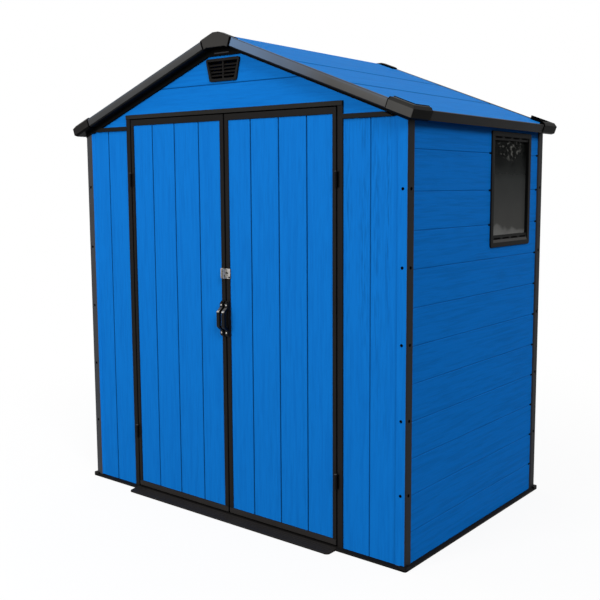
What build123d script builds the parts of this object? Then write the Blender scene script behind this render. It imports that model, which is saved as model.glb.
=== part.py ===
from build123d import *
import math
import os

# Plastic garden shed with an apex roof, in millimetres.
# Z is up, the doors face -Y, and the origin lies on the ground under the middle of the floor.

# Plan and heights
doorway_half_width = 603.0
jamb_width = 25.0
front_panel_width = 253.0
post_size = 44.0
post_corner_radius = 4.0
shed_depth = 1144.0
wall_thickness = 16.0
wall_setback = 6.0
wall_top = 1709.5
roof_seat = 1.9
roof_slope_deg = 20.4

# Board pattern: V grooves between moulded boards
groove_width = 7.0
groove_depth = 3.0
wall_board_pitch = 144.5
lowest_wall_seam = 137.0
door_board_count = 4
roof_seam_shares = (0.365, 0.66)

# Base rails and ramp
rail_height = 18.0
rail_lip_height = 8.0
rail_reach = 12.0
ramp_side_gap = 1.0
ramp_reach = 52.0
ramp_lip_height = 7.0

# Doorway
jamb_depth = 44.0
doorway_rise = 52.5
head_height = 16.5
head_proud = 3.0
cap_strip_height = 18.5
cap_strip_proud = 2.0

# Doors
door_edge_gap = 7.0
door_meeting_gap = 8.0
door_bottom_gap = 5.5
door_top_gap = 5.5
door_thickness = 30.0
stile_width = 21.0
door_rail_width = 27.0
door_board_setback = 4.0
door_board_thickness = 16.0

# Hinges
hinge_height = 61.0
hinge_top_margin = 274.5
hinge_bottom_margin = 262.0
knuckle_radius = 6.5
knuckle_standoff = 1.0
knuckle_gap = 0.6
hinge_pin_radius = 3.0
hinge_pin_clearance = 0.3
hinge_leaf_thickness = 3.0
hinge_leaf_width = 13.0
hinge_leaf_relief = 1.5

# Handles
handle_height_share = 0.498
handle_screw_spacing = 120.0
handle_foot_length = 26.0
handle_grip_length = 66.0
handle_standoff = 22.5
handle_strap_width = 18.0
handle_strap_thickness = 8.0
handle_bend_radius = 8.0
handle_plate_thickness = 8.0
handle_plate_width = 19.0
handle_plate_overhang = 5.0

# Hasp plates
hasp_over_handle = 196.0
hasp_height = 44.0
hasp_plate_width = 24.0
hasp_thickness = 2.0
hasp_tab_reach = 22.0
hasp_tab_height = 26.0
hasp_hole_radius = 4.5

# Roof
roof_thickness = 28.0
gable_overhang = 39.0
eave_overhang = 37.6
trim_wall = 6.0
trim_top = 8.0
trim_drop = 4.0
trim_top_reach = 34.0
fascia_soffit_reach = 22.0
barge_ridge_gap = 22.0
ridge_beam_width = 44.0
ridge_beam_depth = 46.0

# Moulded caps over the trim joints
cap_wall = 4.0
cap_chamfer = 5.0
eave_cap_front_length = 117.0
eave_cap_side_length = 128.0
trim_end_cover = 60.0
ridge_cap_length = 86.0
ridge_cap_flat_rise = 4.5
ridge_cap_flat_drop = 28.0

# Channel under the roof on each gable
channel_drop = 19.0
channel_thickness = 8.0
channel_gusset_depth = 56.0

# Louvred gable vents
vent_gusset_gap = 16.0
vent_height = 91.0
vent_seam_gap = 8.0
vent_top_half_width = 97.0
vent_bottom_half_width = 76.0
vent_corner_radius = 9.0
vent_border = 12.0
vent_proud = 8.0
vent_louvre_count = 4
vent_louvre_thickness = 3.0
vent_louvre_depth = 14.0
vent_louvre_tilt_deg = 35.0
vent_mullion_width = 7.0

# Window in the right wall
window_back_margin = 78.5
window_top_margin = 27.5
window_width = 375.0
window_height = 487.0
window_corner_radius = 9.0
window_side_border = 24.0
window_top_border = 33.0
window_sill_border = 50.0
window_proud = 6.5
window_sleeve = 6.0
window_sleeve_depth = 22.0
window_reveal_chamfer = 2.0
window_sill_face = 20.0
window_sill_fall = 6.0
window_slot_count = 4
window_slot_height = 4.0
window_slot_depth = 3.0
window_slot_fill_share = 0.72
window_top_slot_share = 0.5
pane_thickness = 4.0
pane_setback = 24.0

# Cuts run past the faces that they open
overrun = 20.0

# Places worked out from the sizes above
jamb_outer = doorway_half_width + jamb_width
post_inner_x = jamb_outer + front_panel_width
half_width = post_inner_x + post_size
shed_width = 2 * half_width
half_depth = shed_depth / 2
post_inner_y = half_depth - post_size
wall_x = half_width - wall_setback
wall_y = half_depth - wall_setback
slope = math.radians(roof_slope_deg)
slope_rise = math.tan(slope)
roof_drop = roof_thickness / math.cos(slope)
roof_under = wall_top + roof_seat + wall_x * slope_rise
ridge_height = roof_under + roof_drop
eave_length = (half_width + eave_overhang) / math.cos(slope)
eave_end = eave_length + trim_wall
trim_front = half_depth + gable_overhang
trim_low = -roof_thickness - trim_drop
ridge_cap_flat_top = ridge_height + ridge_cap_flat_rise
ridge_cap_flat_bottom = roof_under - ridge_cap_flat_drop
doorway_top = wall_top + doorway_rise
head_top = doorway_top + head_height
cap_strip_top = wall_top + cap_strip_height
channel_front = half_depth + channel_thickness - wall_setback
channel_gusset_bottom = roof_under - channel_gusset_depth
vent_top = channel_gusset_bottom - vent_gusset_gap
vent_bottom = vent_top - vent_height
gable_seam = vent_bottom - vent_seam_gap
window_middle = post_inner_y - window_back_margin - window_width / 2
window_bottom = wall_top - window_top_margin - window_height
ramp_width = 2 * (doorway_half_width - ramp_side_gap)
door_hinge_edge = doorway_half_width - door_edge_gap
door_free_edge = door_meeting_gap / 2
door_bottom = rail_height + door_bottom_gap
door_top = doorway_top - door_top_gap
handle_middle = door_bottom + handle_height_share * (door_top - door_bottom)
hasp_middle = handle_middle + hasp_over_handle
hinge_upper_middle = door_top - hinge_top_margin
hinge_lower_middle = door_bottom + hinge_bottom_margin
hinge_axis_x = (doorway_half_width + door_hinge_edge) / 2
hinge_axis_y = -half_depth - knuckle_standoff - knuckle_radius


def block(x_span, y_span, z_span):
    """Box between three pairs of coordinates."""
    spans = (x_span, y_span, z_span)
    sizes = [abs(high - low) for low, high in spans]
    middle = [(high + low) / 2 for low, high in spans]
    return Pos(*middle) * Box(*sizes)


def prism(points, along, length):
    """Solid swept straight from a flat outline of points."""
    outline = Wire.make_polygon([Vector(*point) for point in points])
    return extrude(Face(outline), amount=length, dir=along)


def front_prism(outline, y_span):
    """Solid from an outline in X and Z, swept along Y."""
    points = [(x, y_span[0], z) for x, z in outline]
    return prism(points, (0, 1, 0), y_span[1] - y_span[0])


def mirrored(solid, axis):
    """Copy on the other side of the middle plane across X or Y."""
    return mirror(solid, about=Plane.YZ if axis == "x" else Plane.XZ)


def roof_block(along_slope, y_span, off_roof):
    """Box laid on the right roof slope: distance from the ridge, Y, height off the roof."""
    plane = Plane(
        origin=(0, 0, ridge_height),
        x_dir=(math.cos(slope), 0, -math.sin(slope)),
        z_dir=(math.sin(slope), 0, math.cos(slope)),
    )
    return plane * block(along_slope, y_span, off_roof)


def roof_point(along_slope, off_roof):
    """X and Z of a point on the right roof slope."""
    x = along_slope * math.cos(slope) + off_roof * math.sin(slope)
    z = ridge_height - along_slope * math.sin(slope) + off_roof * math.cos(slope)
    return (x, z)


def under_roof(x):
    """Height of the roof's underside at a distance from the middle."""
    return roof_under - abs(x) * slope_rise


def above_roof_underside():
    """Everything over the underside of both roof slopes, used to trim what meets the roof."""
    reach = half_width + overrun
    top = ridge_height + overrun
    outline = [(-reach, under_roof(reach)), (0, roof_under), (reach, under_roof(reach))]
    outline += [(reach, top), (-reach, top)]
    return front_prism(outline, (-half_depth - overrun, half_depth + overrun))


def board_panel(corner, across, inward, along, width, run, seams, thickness):
    """Flat panel whose outer face is grooved between moulded boards."""
    outline = [(0, 0)]
    for seam in seams:
        outline.append((seam - groove_width / 2, 0))
        outline.append((seam, groove_depth))
        outline.append((seam + groove_width / 2, 0))
    outline += [(width, 0), (width, thickness), (0, thickness)]
    start = Vector(*corner)
    points = [start + Vector(*across) * a + Vector(*inward) * b for a, b in outline]
    return prism(points, along, run)


def wall_seams(bottom, top):
    """Heights above the panel's bottom of the horizontal grooves that cross it."""
    heights = []
    height = lowest_wall_seam
    while height < top - groove_width:
        if height > bottom + groove_width:
            heights.append(height - bottom)
        height += wall_board_pitch
    return heights


def side_wall_panel(y_span, z_span):
    """Panel of the right wall with horizontal boards."""
    bottom, top = z_span
    return board_panel(
        (wall_x, y_span[0], bottom), (0, 0, 1), (-1, 0, 0), (0, 1, 0),
        top - bottom, y_span[1] - y_span[0], wall_seams(bottom, top), wall_thickness,
    )


# Base
def make_floor_panel():
    return block((-post_inner_x, post_inner_x), (-post_inner_y, post_inner_y), (0, rail_height))


def make_base_rails():
    """Mitred frame of four rails whose tops slope out from the walls."""
    outer_x = half_width + rail_reach
    outer_y = half_depth + rail_reach
    lip = block((-outer_x, outer_x), (-outer_y, outer_y), (0, rail_lip_height))
    lower = Pos(0, 0, rail_lip_height) * Rectangle(2 * outer_x, 2 * outer_y)
    upper = Pos(0, 0, rail_height) * Rectangle(shed_width, shed_depth)
    frame = lip + loft([lower, upper])
    frame -= block((-post_inner_x, post_inner_x), (-post_inner_y, post_inner_y), (0, rail_height))
    outer = [(-outer_x, -outer_y), (outer_x, -outer_y), (outer_x, outer_y), (-outer_x, outer_y)]
    inner = [(-post_inner_x, -post_inner_y), (post_inner_x, -post_inner_y)]
    inner += [(post_inner_x, post_inner_y), (-post_inner_x, post_inner_y)]
    rails = []
    for side in range(4):
        after = (side + 1) % 4
        corners = [outer[side], outer[after], inner[after], inner[side]]
        mitre = prism([(x, y, 0) for x, y in corners], (0, 0, 1), rail_height)
        rails.append(frame & mitre)
    return dict(zip(("front", "right", "back", "left"), rails))


def make_door_ramp():
    """Low wedge that leads up to the doors and sits on the front rail's slope."""
    rail_front = -half_depth - rail_reach
    tip = rail_front - ramp_reach
    inner = -half_depth - door_bottom_gap
    rail_rise = (rail_height - rail_lip_height) / rail_reach
    rail_at_inner = rail_lip_height + rail_rise * (inner - rail_front)
    outline = [(rail_front, 0), (tip, 0), (tip, ramp_lip_height), (inner, rail_height)]
    outline += [(inner, rail_at_inner), (rail_front, rail_lip_height)]
    points = [(-ramp_width / 2, y, z) for y, z in outline]
    return prism(points, (1, 0, 0), ramp_width)


# Frame and walls
def make_corner_posts():
    """Four rounded square posts whose tops are cut to the roof."""
    section = RectangleRounded(post_size, post_size, post_corner_radius)
    height = under_roof(post_inner_x) - rail_height
    middle_x = half_width - post_size / 2
    middle_y = half_depth - post_size / 2
    post = Pos(middle_x, -middle_y, rail_height) * extrude(section, amount=height)
    post -= above_roof_underside()
    front = [post, mirrored(post, "x")]
    return front + [mirrored(each, "y") for each in front]


def make_front_right_wall():
    width = post_inner_x - jamb_outer
    return board_panel(
        (jamb_outer, -wall_y, rail_height), (1, 0, 0), (0, 1, 0), (0, 0, 1),
        width, wall_top - rail_height, [width / 2], wall_thickness,
    )


def make_back_wall():
    height = wall_top - rail_height
    return board_panel(
        (-post_inner_x, wall_y, rail_height), (0, 0, 1), (0, -1, 0), (1, 0, 0),
        height, 2 * post_inner_x, wall_seams(rail_height, wall_top), wall_thickness,
    )


def make_left_wall():
    """Plain side wall, its top cut to the roof."""
    top = under_roof(wall_x - wall_thickness)
    wall = side_wall_panel((-post_inner_y, post_inner_y), (rail_height, top))
    return mirrored(wall - above_roof_underside(), "x")


def window_opening():
    """Y and Z spans of the hole in the right wall."""
    half = window_width / 2 - window_side_border + window_sleeve
    low = window_bottom + window_sill_border - window_sleeve
    high = window_bottom + window_height - window_top_border + window_sleeve
    return (window_middle - half, window_middle + half), (low, high)


def make_right_wall():
    """Right wall in four panels round the window."""
    (near, far), (low, high) = window_opening()
    top = under_roof(wall_x - wall_thickness)
    spans = {
        "front": ((-post_inner_y, near), (rail_height, top)),
        "rear": ((far, post_inner_y), (rail_height, top)),
        "lower": ((near, far), (rail_height, low)),
        "upper": ((near, far), (high, top)),
    }
    cutter = above_roof_underside()
    return {name: side_wall_panel(*span) - cutter for name, span in spans.items()}


def make_door_jambs():
    y_span = (-half_depth, -half_depth + jamb_depth)
    jamb = block((doorway_half_width, jamb_outer), y_span, (rail_height, doorway_top))
    return [jamb, mirrored(jamb, "x")]


def make_door_head():
    y_span = (-half_depth - head_proud, -half_depth + jamb_depth)
    head = block((-jamb_outer, jamb_outer), y_span, (doorway_top, head_top))
    front_edges = head.edges().filter_by(Axis.X).group_by(Axis.Y)[0]
    return chamfer(front_edges, head_proud / 2)


def cap_strip(x_span):
    """Strip over the boards of a front or back wall, trimmed under the roof and its channel."""
    y_span = (-half_depth - cap_strip_proud, -wall_y + wall_thickness)
    strip = block(x_span, y_span, (wall_top, cap_strip_top)) - above_roof_underside()
    channel = make_gable_channel()
    return strip - channel - mirrored(channel, "x")


# Gables
def gable_outline(bottom):
    """Triangle under the roof, cut off level at its bottom."""
    reach = min((roof_under - bottom) / slope_rise, post_inner_x)
    outline = [(-reach, bottom), (reach, bottom)]
    if reach == post_inner_x:
        outline += [(reach, under_roof(reach)), (0, roof_under), (-reach, under_roof(reach))]
    else:
        outline.append((0, roof_under))
    return outline


def make_gable(bottom):
    """Front gable panel with horizontal boards and the vent's hole."""
    panel = board_panel(
        (-post_inner_x, -wall_y, bottom), (0, 0, 1), (0, 1, 0), (1, 0, 0),
        roof_under - bottom, 2 * post_inner_x, [gable_seam - bottom], wall_thickness,
    )
    panel &= front_prism(gable_outline(bottom), (-half_depth, half_depth))
    return panel - vent_shape(vent_border / 2, (-half_depth - overrun, 0))


def make_gable_fillers():
    """Pieces of the front gable beside the door head."""
    reach = (roof_under - cap_strip_top) / slope_rise
    shoulder = (roof_under - head_top) / slope_rise
    outline = [(jamb_outer, cap_strip_top), (reach, cap_strip_top)]
    outline += [(shoulder, head_top), (jamb_outer, head_top)]
    filler = front_prism(outline, (-wall_y, -wall_y + wall_thickness))
    return [filler, mirrored(filler, "x")]


def make_gable_channel():
    """Front right strip along the gable under the roof, with half of the level apex gusset."""
    end = post_inner_x
    gusset = (roof_under - channel_drop - channel_gusset_bottom) / slope_rise
    outline = [(0, channel_gusset_bottom), (gusset, channel_gusset_bottom)]
    outline += [(end, under_roof(end) - channel_drop), (end, under_roof(end)), (0, roof_under)]
    return front_prism(outline, (-channel_front, -channel_front + channel_thickness))


def vent_shape(inset, y_span):
    """Rounded trapezium of the vent, drawn in by an inset."""
    bottom = vent_bottom + inset
    top = vent_top - inset
    low = vent_bottom_half_width - inset
    high = vent_top_half_width - inset
    solid = front_prism([(-low, bottom), (low, bottom), (high, top), (-high, top)], y_span)
    corners = solid.edges().filter_by(Axis.Y)
    return fillet(corners, vent_corner_radius * (1 - inset / (2 * vent_border)))


def make_gable_vent():
    """Moulded louvre: a border standing on the gable, tilted blades and one mullion."""
    face_y = -wall_y
    flange = vent_shape(0, (face_y - vent_proud, face_y))
    sleeve = vent_shape(vent_border / 2, (face_y, face_y + wall_thickness))
    hole = vent_shape(vent_border, (face_y - overrun, face_y + wall_thickness + overrun))
    vent = flange + sleeve - hole
    clear_height = vent_top - vent_bottom - 2 * vent_border
    pitch = clear_height / (vent_louvre_count + 1)
    middle_y = face_y - vent_proud / 2 + vent_louvre_depth / 2
    inside = vent_shape(vent_border / 2, (face_y - vent_proud, face_y + wall_thickness))
    blade = Box(2 * vent_top_half_width, vent_louvre_depth, vent_louvre_thickness)
    for count in range(vent_louvre_count):
        height = vent_bottom + vent_border + (count + 1) * pitch
        tilted = Pos(0, middle_y, height) * Rot(vent_louvre_tilt_deg, 0, 0) * blade
        vent += tilted & inside
    half_bar = vent_mullion_width / 2
    bar_y = (face_y - vent_proud / 2, face_y + vent_louvre_depth / 2)
    bar_z = (vent_bottom + vent_border / 2, vent_top - vent_border / 2)
    return vent + block((-half_bar, half_bar), bar_y, bar_z)


# Window
def make_window_frame():
    """Moulded surround with a bevelled reveal, slots over and under the glass, and a sleeve."""
    y_span = (window_middle - window_width / 2, window_middle + window_width / 2)
    z_span = (window_bottom, window_bottom + window_height)
    frame = block((wall_x, wall_x + window_proud), y_span, z_span)
    frame = fillet(frame.edges().filter_by(Axis.X), window_corner_radius)
    hole_y, hole_z = window_opening()
    sleeve_x = (wall_x - window_sleeve_depth, wall_x)
    frame += block(sleeve_x, hole_y, hole_z)
    glass_y = (hole_y[0] + window_sleeve, hole_y[1] - window_sleeve)
    glass_z = (hole_z[0] + window_sleeve, hole_z[1] - window_sleeve)
    frame -= block((sleeve_x[0], wall_x + window_proud), glass_y, glass_z)
    outer_face = frame.faces().sort_by(Axis.X)[-1]
    frame = chamfer(outer_face.inner_wires()[0].edges(), window_reveal_chamfer)
    frame -= window_sill_slope(glass_y, glass_z[0])
    slots_y = (glass_y[1] - glass_y[0]) / window_slot_count
    slot_length = slots_y * window_slot_fill_share
    face_x = wall_x + window_proud
    sill_slot = window_bottom + window_sill_face + window_sill_slope_height() / 2
    top_slot = z_span[1] - window_top_border * window_top_slot_share
    for slot_z, depth in ((sill_slot, window_sill_fall), (top_slot, window_slot_depth)):
        slot_x = (face_x - depth, face_x)
        for count in range(window_slot_count):
            middle = glass_y[0] + (count + 1 / 2) * slots_y
            along = (middle - slot_length / 2, middle + slot_length / 2)
            frame -= block(slot_x, along, (slot_z, slot_z + window_slot_height))
    return frame


def window_sill_slope_height():
    return window_sill_border - window_sill_face


def window_sill_slope(glass_y, glass_bottom):
    """Wedge that makes the sill fall outwards from the glass to its front face."""
    face_x = wall_x + window_proud
    outline = [(face_x, glass_bottom - window_sill_slope_height()), (face_x, glass_bottom)]
    outline.append((face_x - window_sill_fall, glass_bottom))
    points = [(x, glass_y[0], z) for x, z in outline]
    return prism(points, (0, 1, 0), glass_y[1] - glass_y[0])


def make_window_pane():
    (near, far), (low, high) = window_opening()
    face_x = wall_x + window_proud - pane_setback
    x_span = (face_x - pane_thickness, face_x)
    y_span = (near + window_sleeve, far - window_sleeve)
    return block(x_span, y_span, (low + window_sleeve, high - window_sleeve))


# Roof
def make_right_roof_panel():
    """Board panel from the ridge to the eave, mitred at the ridge."""
    half_run = trim_front - trim_wall
    overlap = roof_thickness * slope_rise
    seams = [share * eave_length + overlap for share in roof_seam_shares]
    start_x, start_z = roof_point(-overlap, 0)
    panel = board_panel(
        (start_x, -half_run, start_z), (math.cos(slope), 0, -math.sin(slope)),
        (-math.sin(slope), 0, -math.cos(slope)), (0, 1, 0),
        eave_length + overlap, 2 * half_run, seams, roof_thickness,
    )
    far_side = block((-shed_width, 0), (-shed_depth, shed_depth), (0, 2 * ridge_height))
    return panel - far_side


def make_ridge_beam():
    """Beam between the gables with its top cut to the roof."""
    inner_y = wall_y - wall_thickness
    half = ridge_beam_width / 2
    beam_z = (roof_under - ridge_beam_depth, roof_under)
    beam = block((-half, half), (-inner_y, inner_y), beam_z)
    return beam - above_roof_underside()


def make_bargeboard():
    """Front right channel that clips over the roof's gable edge."""
    along = (barge_ridge_gap, eave_end - trim_end_cover)
    back = -channel_front
    board = roof_block(along, (-trim_front, -trim_front + trim_wall), (trim_low, trim_top))
    board += roof_block(along, (-trim_front, -trim_front + trim_top_reach), (0, trim_top))
    board += roof_block(along, (-trim_front, back), (trim_low, -roof_thickness))
    return board


def make_eave_fascia():
    """Right channel that clips over the roof's eave."""
    half_run = trim_front - trim_end_cover
    y_span = (-half_run, half_run)
    fascia = roof_block((eave_length, eave_end), y_span, (trim_low, trim_top))
    fascia += roof_block((eave_end - trim_top_reach, eave_end), y_span, (0, trim_top))
    soffit = (eave_end - fascia_soffit_reach, eave_end)
    return fascia + roof_block(soffit, y_span, (trim_low, -roof_thickness))


def make_eave_cap():
    """Moulded corner cap, front right: a thin L-shaped shell over the bargeboard and fascia ends."""
    outer_end = eave_end + cap_wall
    outer_front = -trim_front - cap_wall
    heights = (trim_low - cap_wall, trim_top + cap_wall)
    front_u = (outer_end - eave_cap_front_length, outer_end)
    front_arm = roof_block(front_u, (outer_front, -channel_front), heights)
    side_y = (outer_front, outer_front + eave_cap_side_length)
    side_arm = roof_block((eave_end - fascia_soffit_reach, outer_end), side_y, heights)
    cap = front_arm + side_arm
    top_edges = cap.faces().sort_by(Axis.Z)[-1].outer_wire().edges()
    cap = chamfer(top_edges, cap_chamfer)
    inside_y = (-trim_front, outer_front + eave_cap_side_length + overrun)
    inside_u = (front_u[0] - overrun, eave_end)
    return cap - roof_block(inside_u, inside_y, (trim_low, trim_top))


def make_ridge_cap():
    """Moulded cap over the bargeboards' meeting, flat on its top and bottom."""
    upper = roof_point(ridge_cap_length, trim_top + cap_wall)
    lower = roof_point(ridge_cap_length, trim_low - cap_wall)
    top_line = ridge_height + (trim_top + cap_wall) / math.cos(slope)
    low_line = ridge_height + (trim_low - cap_wall) / math.cos(slope)
    flat_top = ((top_line - ridge_cap_flat_top) / slope_rise, ridge_cap_flat_top)
    flat_bottom = ((low_line - ridge_cap_flat_bottom) / slope_rise, ridge_cap_flat_bottom)
    right = [flat_bottom, lower, upper, flat_top]
    outline = right + [(-x, z) for x, z in reversed(right)]
    cap = front_prism(outline, (-trim_front - cap_wall, -channel_front))
    hollow_u = (-overrun, ridge_cap_length + overrun)
    hollow = roof_block(hollow_u, (-trim_front, half_depth), (trim_low, trim_top))
    hollow -= block((-shed_width, 0), (-shed_depth, shed_depth), (0, 2 * ridge_height))
    hollow -= block((-shed_width, shed_width), (-shed_depth, shed_depth), (ridge_height, 2 * ridge_height))
    return cap - hollow - mirrored(hollow, "x")


# Doors
def make_right_door_frame():
    """Stiles and rails round the door's boards."""
    y_span = (-half_depth, -half_depth + door_thickness)
    frame = block((door_free_edge, door_hinge_edge), y_span, (door_bottom, door_top))
    board_z = (door_bottom + door_rail_width, door_top - door_rail_width)
    return frame - block(*door_board_spans(), board_z)


def door_board_spans():
    """X and Y spans of the space between the door's stiles."""
    x_span = (door_free_edge + stile_width, door_hinge_edge - stile_width)
    return x_span, (-half_depth, -half_depth + door_thickness)


def make_right_door_boards():
    """Board panel held in the door's frame."""
    (left, right), _ = door_board_spans()
    width = right - left
    pitch = doorway_half_width / door_board_count
    seams = [(count + 1) * pitch - left for count in range(door_board_count - 1)]
    corner = (left, -half_depth + door_board_setback, door_bottom + door_rail_width)
    height = door_top - door_bottom - 2 * door_rail_width
    return board_panel(
        corner, (1, 0, 0), (0, 1, 0), (0, 0, 1), width, height, seams, door_board_thickness,
    )


def make_right_handle():
    """Bowed strap handle on a back plate, on the meeting stile."""
    middle_x = door_free_edge + stile_width / 2
    plate_front = -half_depth - handle_plate_thickness
    near = plate_front - handle_strap_thickness / 2
    far = -half_depth - handle_standoff - handle_strap_thickness / 2
    half_grip = handle_grip_length / 2
    half_screws = handle_screw_spacing / 2
    foot = handle_foot_length / 2
    heights = (half_screws + foot, half_screws - foot, half_grip)
    route = [(near, heights[0]), (near, heights[1]), (far, heights[2])]
    route += [(y, -z) for y, z in reversed(route)]
    points = [(middle_x, y, handle_middle + z) for y, z in route]
    path = FilletPolyline(*points, radius=handle_bend_radius)
    section = Plane(origin=points[0], x_dir=(1, 0, 0), z_dir=(0, 0, -1))
    strap = section * Rectangle(handle_strap_width, handle_strap_thickness)
    half_plate = heights[0] + handle_plate_overhang
    plate_x = (middle_x - handle_plate_width / 2, middle_x + handle_plate_width / 2)
    plate_z = (handle_middle - half_plate, handle_middle + half_plate)
    return sweep(strap, path=path) + block(plate_x, (plate_front, -half_depth), plate_z)


def make_right_hasp():
    """Angle plate with a padlock hole through its outward tab."""
    face_y = -half_depth
    plate_y = (face_y - hasp_thickness, face_y)
    half = hasp_height / 2
    plate_x = (door_free_edge, door_free_edge + hasp_plate_width)
    plate = block(plate_x, plate_y, (hasp_middle - half, hasp_middle + half))
    tab_x = (door_free_edge, door_free_edge + hasp_thickness)
    tab_z = (hasp_middle - half, hasp_middle - half + hasp_tab_height)
    plate += block(tab_x, (face_y - hasp_tab_reach, face_y), tab_z)
    hole = Pos(door_free_edge, face_y - hasp_tab_reach / 2 - hasp_thickness, sum(tab_z) / 2)
    return plate - hole * Rot(0, 90, 0) * Cylinder(hasp_hole_radius, overrun)


def knuckle(z_span):
    """Barrel length on the hinge axis."""
    low, high = z_span
    return Pos(hinge_axis_x, hinge_axis_y, (low + high) / 2) * Cylinder(knuckle_radius, high - low)


def hinge_leaf(side, z_span, own_spans):
    """Leaf plate on one side of the hinge axis with its knuckles and their webs."""
    near = hinge_axis_x + side * (knuckle_radius + hinge_leaf_relief)
    far = near + side * hinge_leaf_width
    plate_y = (-half_depth - hinge_leaf_thickness, -half_depth)
    leaf = block((min(near, far), max(near, far)), plate_y, z_span)
    for span in own_spans:
        web = (min(hinge_axis_x, near), max(hinge_axis_x, near))
        leaf += block(web, plate_y, span)
        leaf += knuckle(span)
    return leaf


def hinge_thirds(middle):
    """Heights of a hinge: the whole, its two fixed knuckles and its moving knuckle."""
    low = middle - hinge_height / 2
    high = middle + hinge_height / 2
    third = hinge_height / 3
    fixed = [(low, low + third), (high - third, high)]
    moving = (low + third + knuckle_gap, high - third - knuckle_gap)
    return (low, high), fixed, moving


def hinge_pin(z_span, radius):
    low, high = z_span
    return Pos(hinge_axis_x, hinge_axis_y, (low + high) / 2) * Cylinder(radius, high - low)


def make_right_jamb_hinge(middle):
    """Fixed leaf with its pin through all three knuckles."""
    whole, fixed, _ = hinge_thirds(middle)
    return hinge_leaf(1, whole, fixed) + hinge_pin(whole, hinge_pin_radius)


def make_right_door_hinge(middle):
    """Moving leaf bored for the pin."""
    whole, _, moving = hinge_thirds(middle)
    bore = hinge_pin(whole, hinge_pin_radius + hinge_pin_clearance)
    return hinge_leaf(-1, whole, [moving]) - bore


def both_ends(solid):
    """A front piece and its twin at the back."""
    return [solid, mirrored(solid, "y")]


def both_sides(solid):
    """A right piece and its twin on the left."""
    return [solid, mirrored(solid, "x")]


def all_nodes():
    """Every named piece of the shed, each a solid or a list of solids that stand apart."""
    nodes = {"floor_panel": make_floor_panel(), "door_ramp": make_door_ramp()}
    for name, rail in make_base_rails().items():
        nodes[f"{name}_base_rail"] = rail
    nodes["corner_posts"] = make_corner_posts()
    front_wall = make_front_right_wall()
    nodes["front_right_wall"] = front_wall
    nodes["front_left_wall"] = mirrored(front_wall, "x")
    nodes["back_wall"] = make_back_wall()
    nodes["left_wall"] = make_left_wall()
    for name, panel in make_right_wall().items():
        nodes[f"right_wall_{name}"] = panel
    nodes["door_jambs"] = make_door_jambs()
    nodes["door_head"] = make_door_head()
    nodes["front_wall_caps"] = both_sides(cap_strip((jamb_outer, post_inner_x)))
    nodes["back_wall_cap"] = mirrored(cap_strip((-post_inner_x, post_inner_x)), "y")
    nodes["front_gable"] = make_gable(head_top)
    nodes["front_gable_fillers"] = make_gable_fillers()
    nodes["back_gable"] = mirrored(make_gable(cap_strip_top), "y")
    channels = both_ends(make_gable_channel())
    nodes["right_gable_channels"] = channels
    nodes["left_gable_channels"] = [mirrored(channel, "x") for channel in channels]
    nodes["gable_vents"] = both_ends(make_gable_vent())
    nodes["window_frame"] = make_window_frame()
    nodes["window_pane"] = make_window_pane()
    roof = make_right_roof_panel()
    nodes["right_roof_panel"] = roof
    nodes["left_roof_panel"] = mirrored(roof, "x")
    nodes["ridge_beam"] = make_ridge_beam()
    front_boards = both_sides(make_bargeboard())
    nodes["bargeboards"] = front_boards + [mirrored(board, "y") for board in front_boards]
    nodes["eave_fascias"] = both_sides(make_eave_fascia())
    front_caps = both_sides(make_eave_cap())
    nodes["eave_corner_caps"] = front_caps + [mirrored(cap, "y") for cap in front_caps]
    nodes["ridge_caps"] = both_ends(make_ridge_cap())
    hinge_middles = (hinge_lower_middle, hinge_upper_middle)
    right_door = {
        "door_frame": make_right_door_frame(),
        "door_boards": make_right_door_boards(),
        "door_handle": make_right_handle(),
        "hasp_plate": make_right_hasp(),
        "door_hinges": [make_right_door_hinge(middle) for middle in hinge_middles],
    }
    for name, piece in right_door.items():
        pieces = piece if isinstance(piece, list) else [piece]
        nodes[f"right_{name}"] = piece
        nodes[f"left_{name}"] = [mirrored(each, "x") for each in pieces]
    fixed_leaves = [make_right_jamb_hinge(middle) for middle in hinge_middles]
    nodes["jamb_hinges"] = fixed_leaves + [mirrored(leaf, "x") for leaf in fixed_leaves]
    return nodes


def solids_of(piece):
    """The plain solids of one piece or of a list of pieces."""
    pieces = piece if isinstance(piece, list) else [piece]
    return [solid for each in pieces for solid in each.solids()]


os.makedirs("parts", exist_ok=True)
for node_name, node_piece in all_nodes().items():
    export_step(Compound(children=solids_of(node_piece)), f"parts/{node_name}.step")
print("written:", len(os.listdir("parts")), "pieces")
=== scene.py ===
# %% [markdown]
# # A plastic garden shed, dressed in Blender
# The shed is a kit of moulded polypropylene: blue boards pressed with wood grain, near-black
# posts, trim and caps, steel fittings on the doors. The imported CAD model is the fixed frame.
# Everything below is laid over it in the same metres, so nothing has to be fitted by eye.

# %% Load the frame
import math

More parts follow.
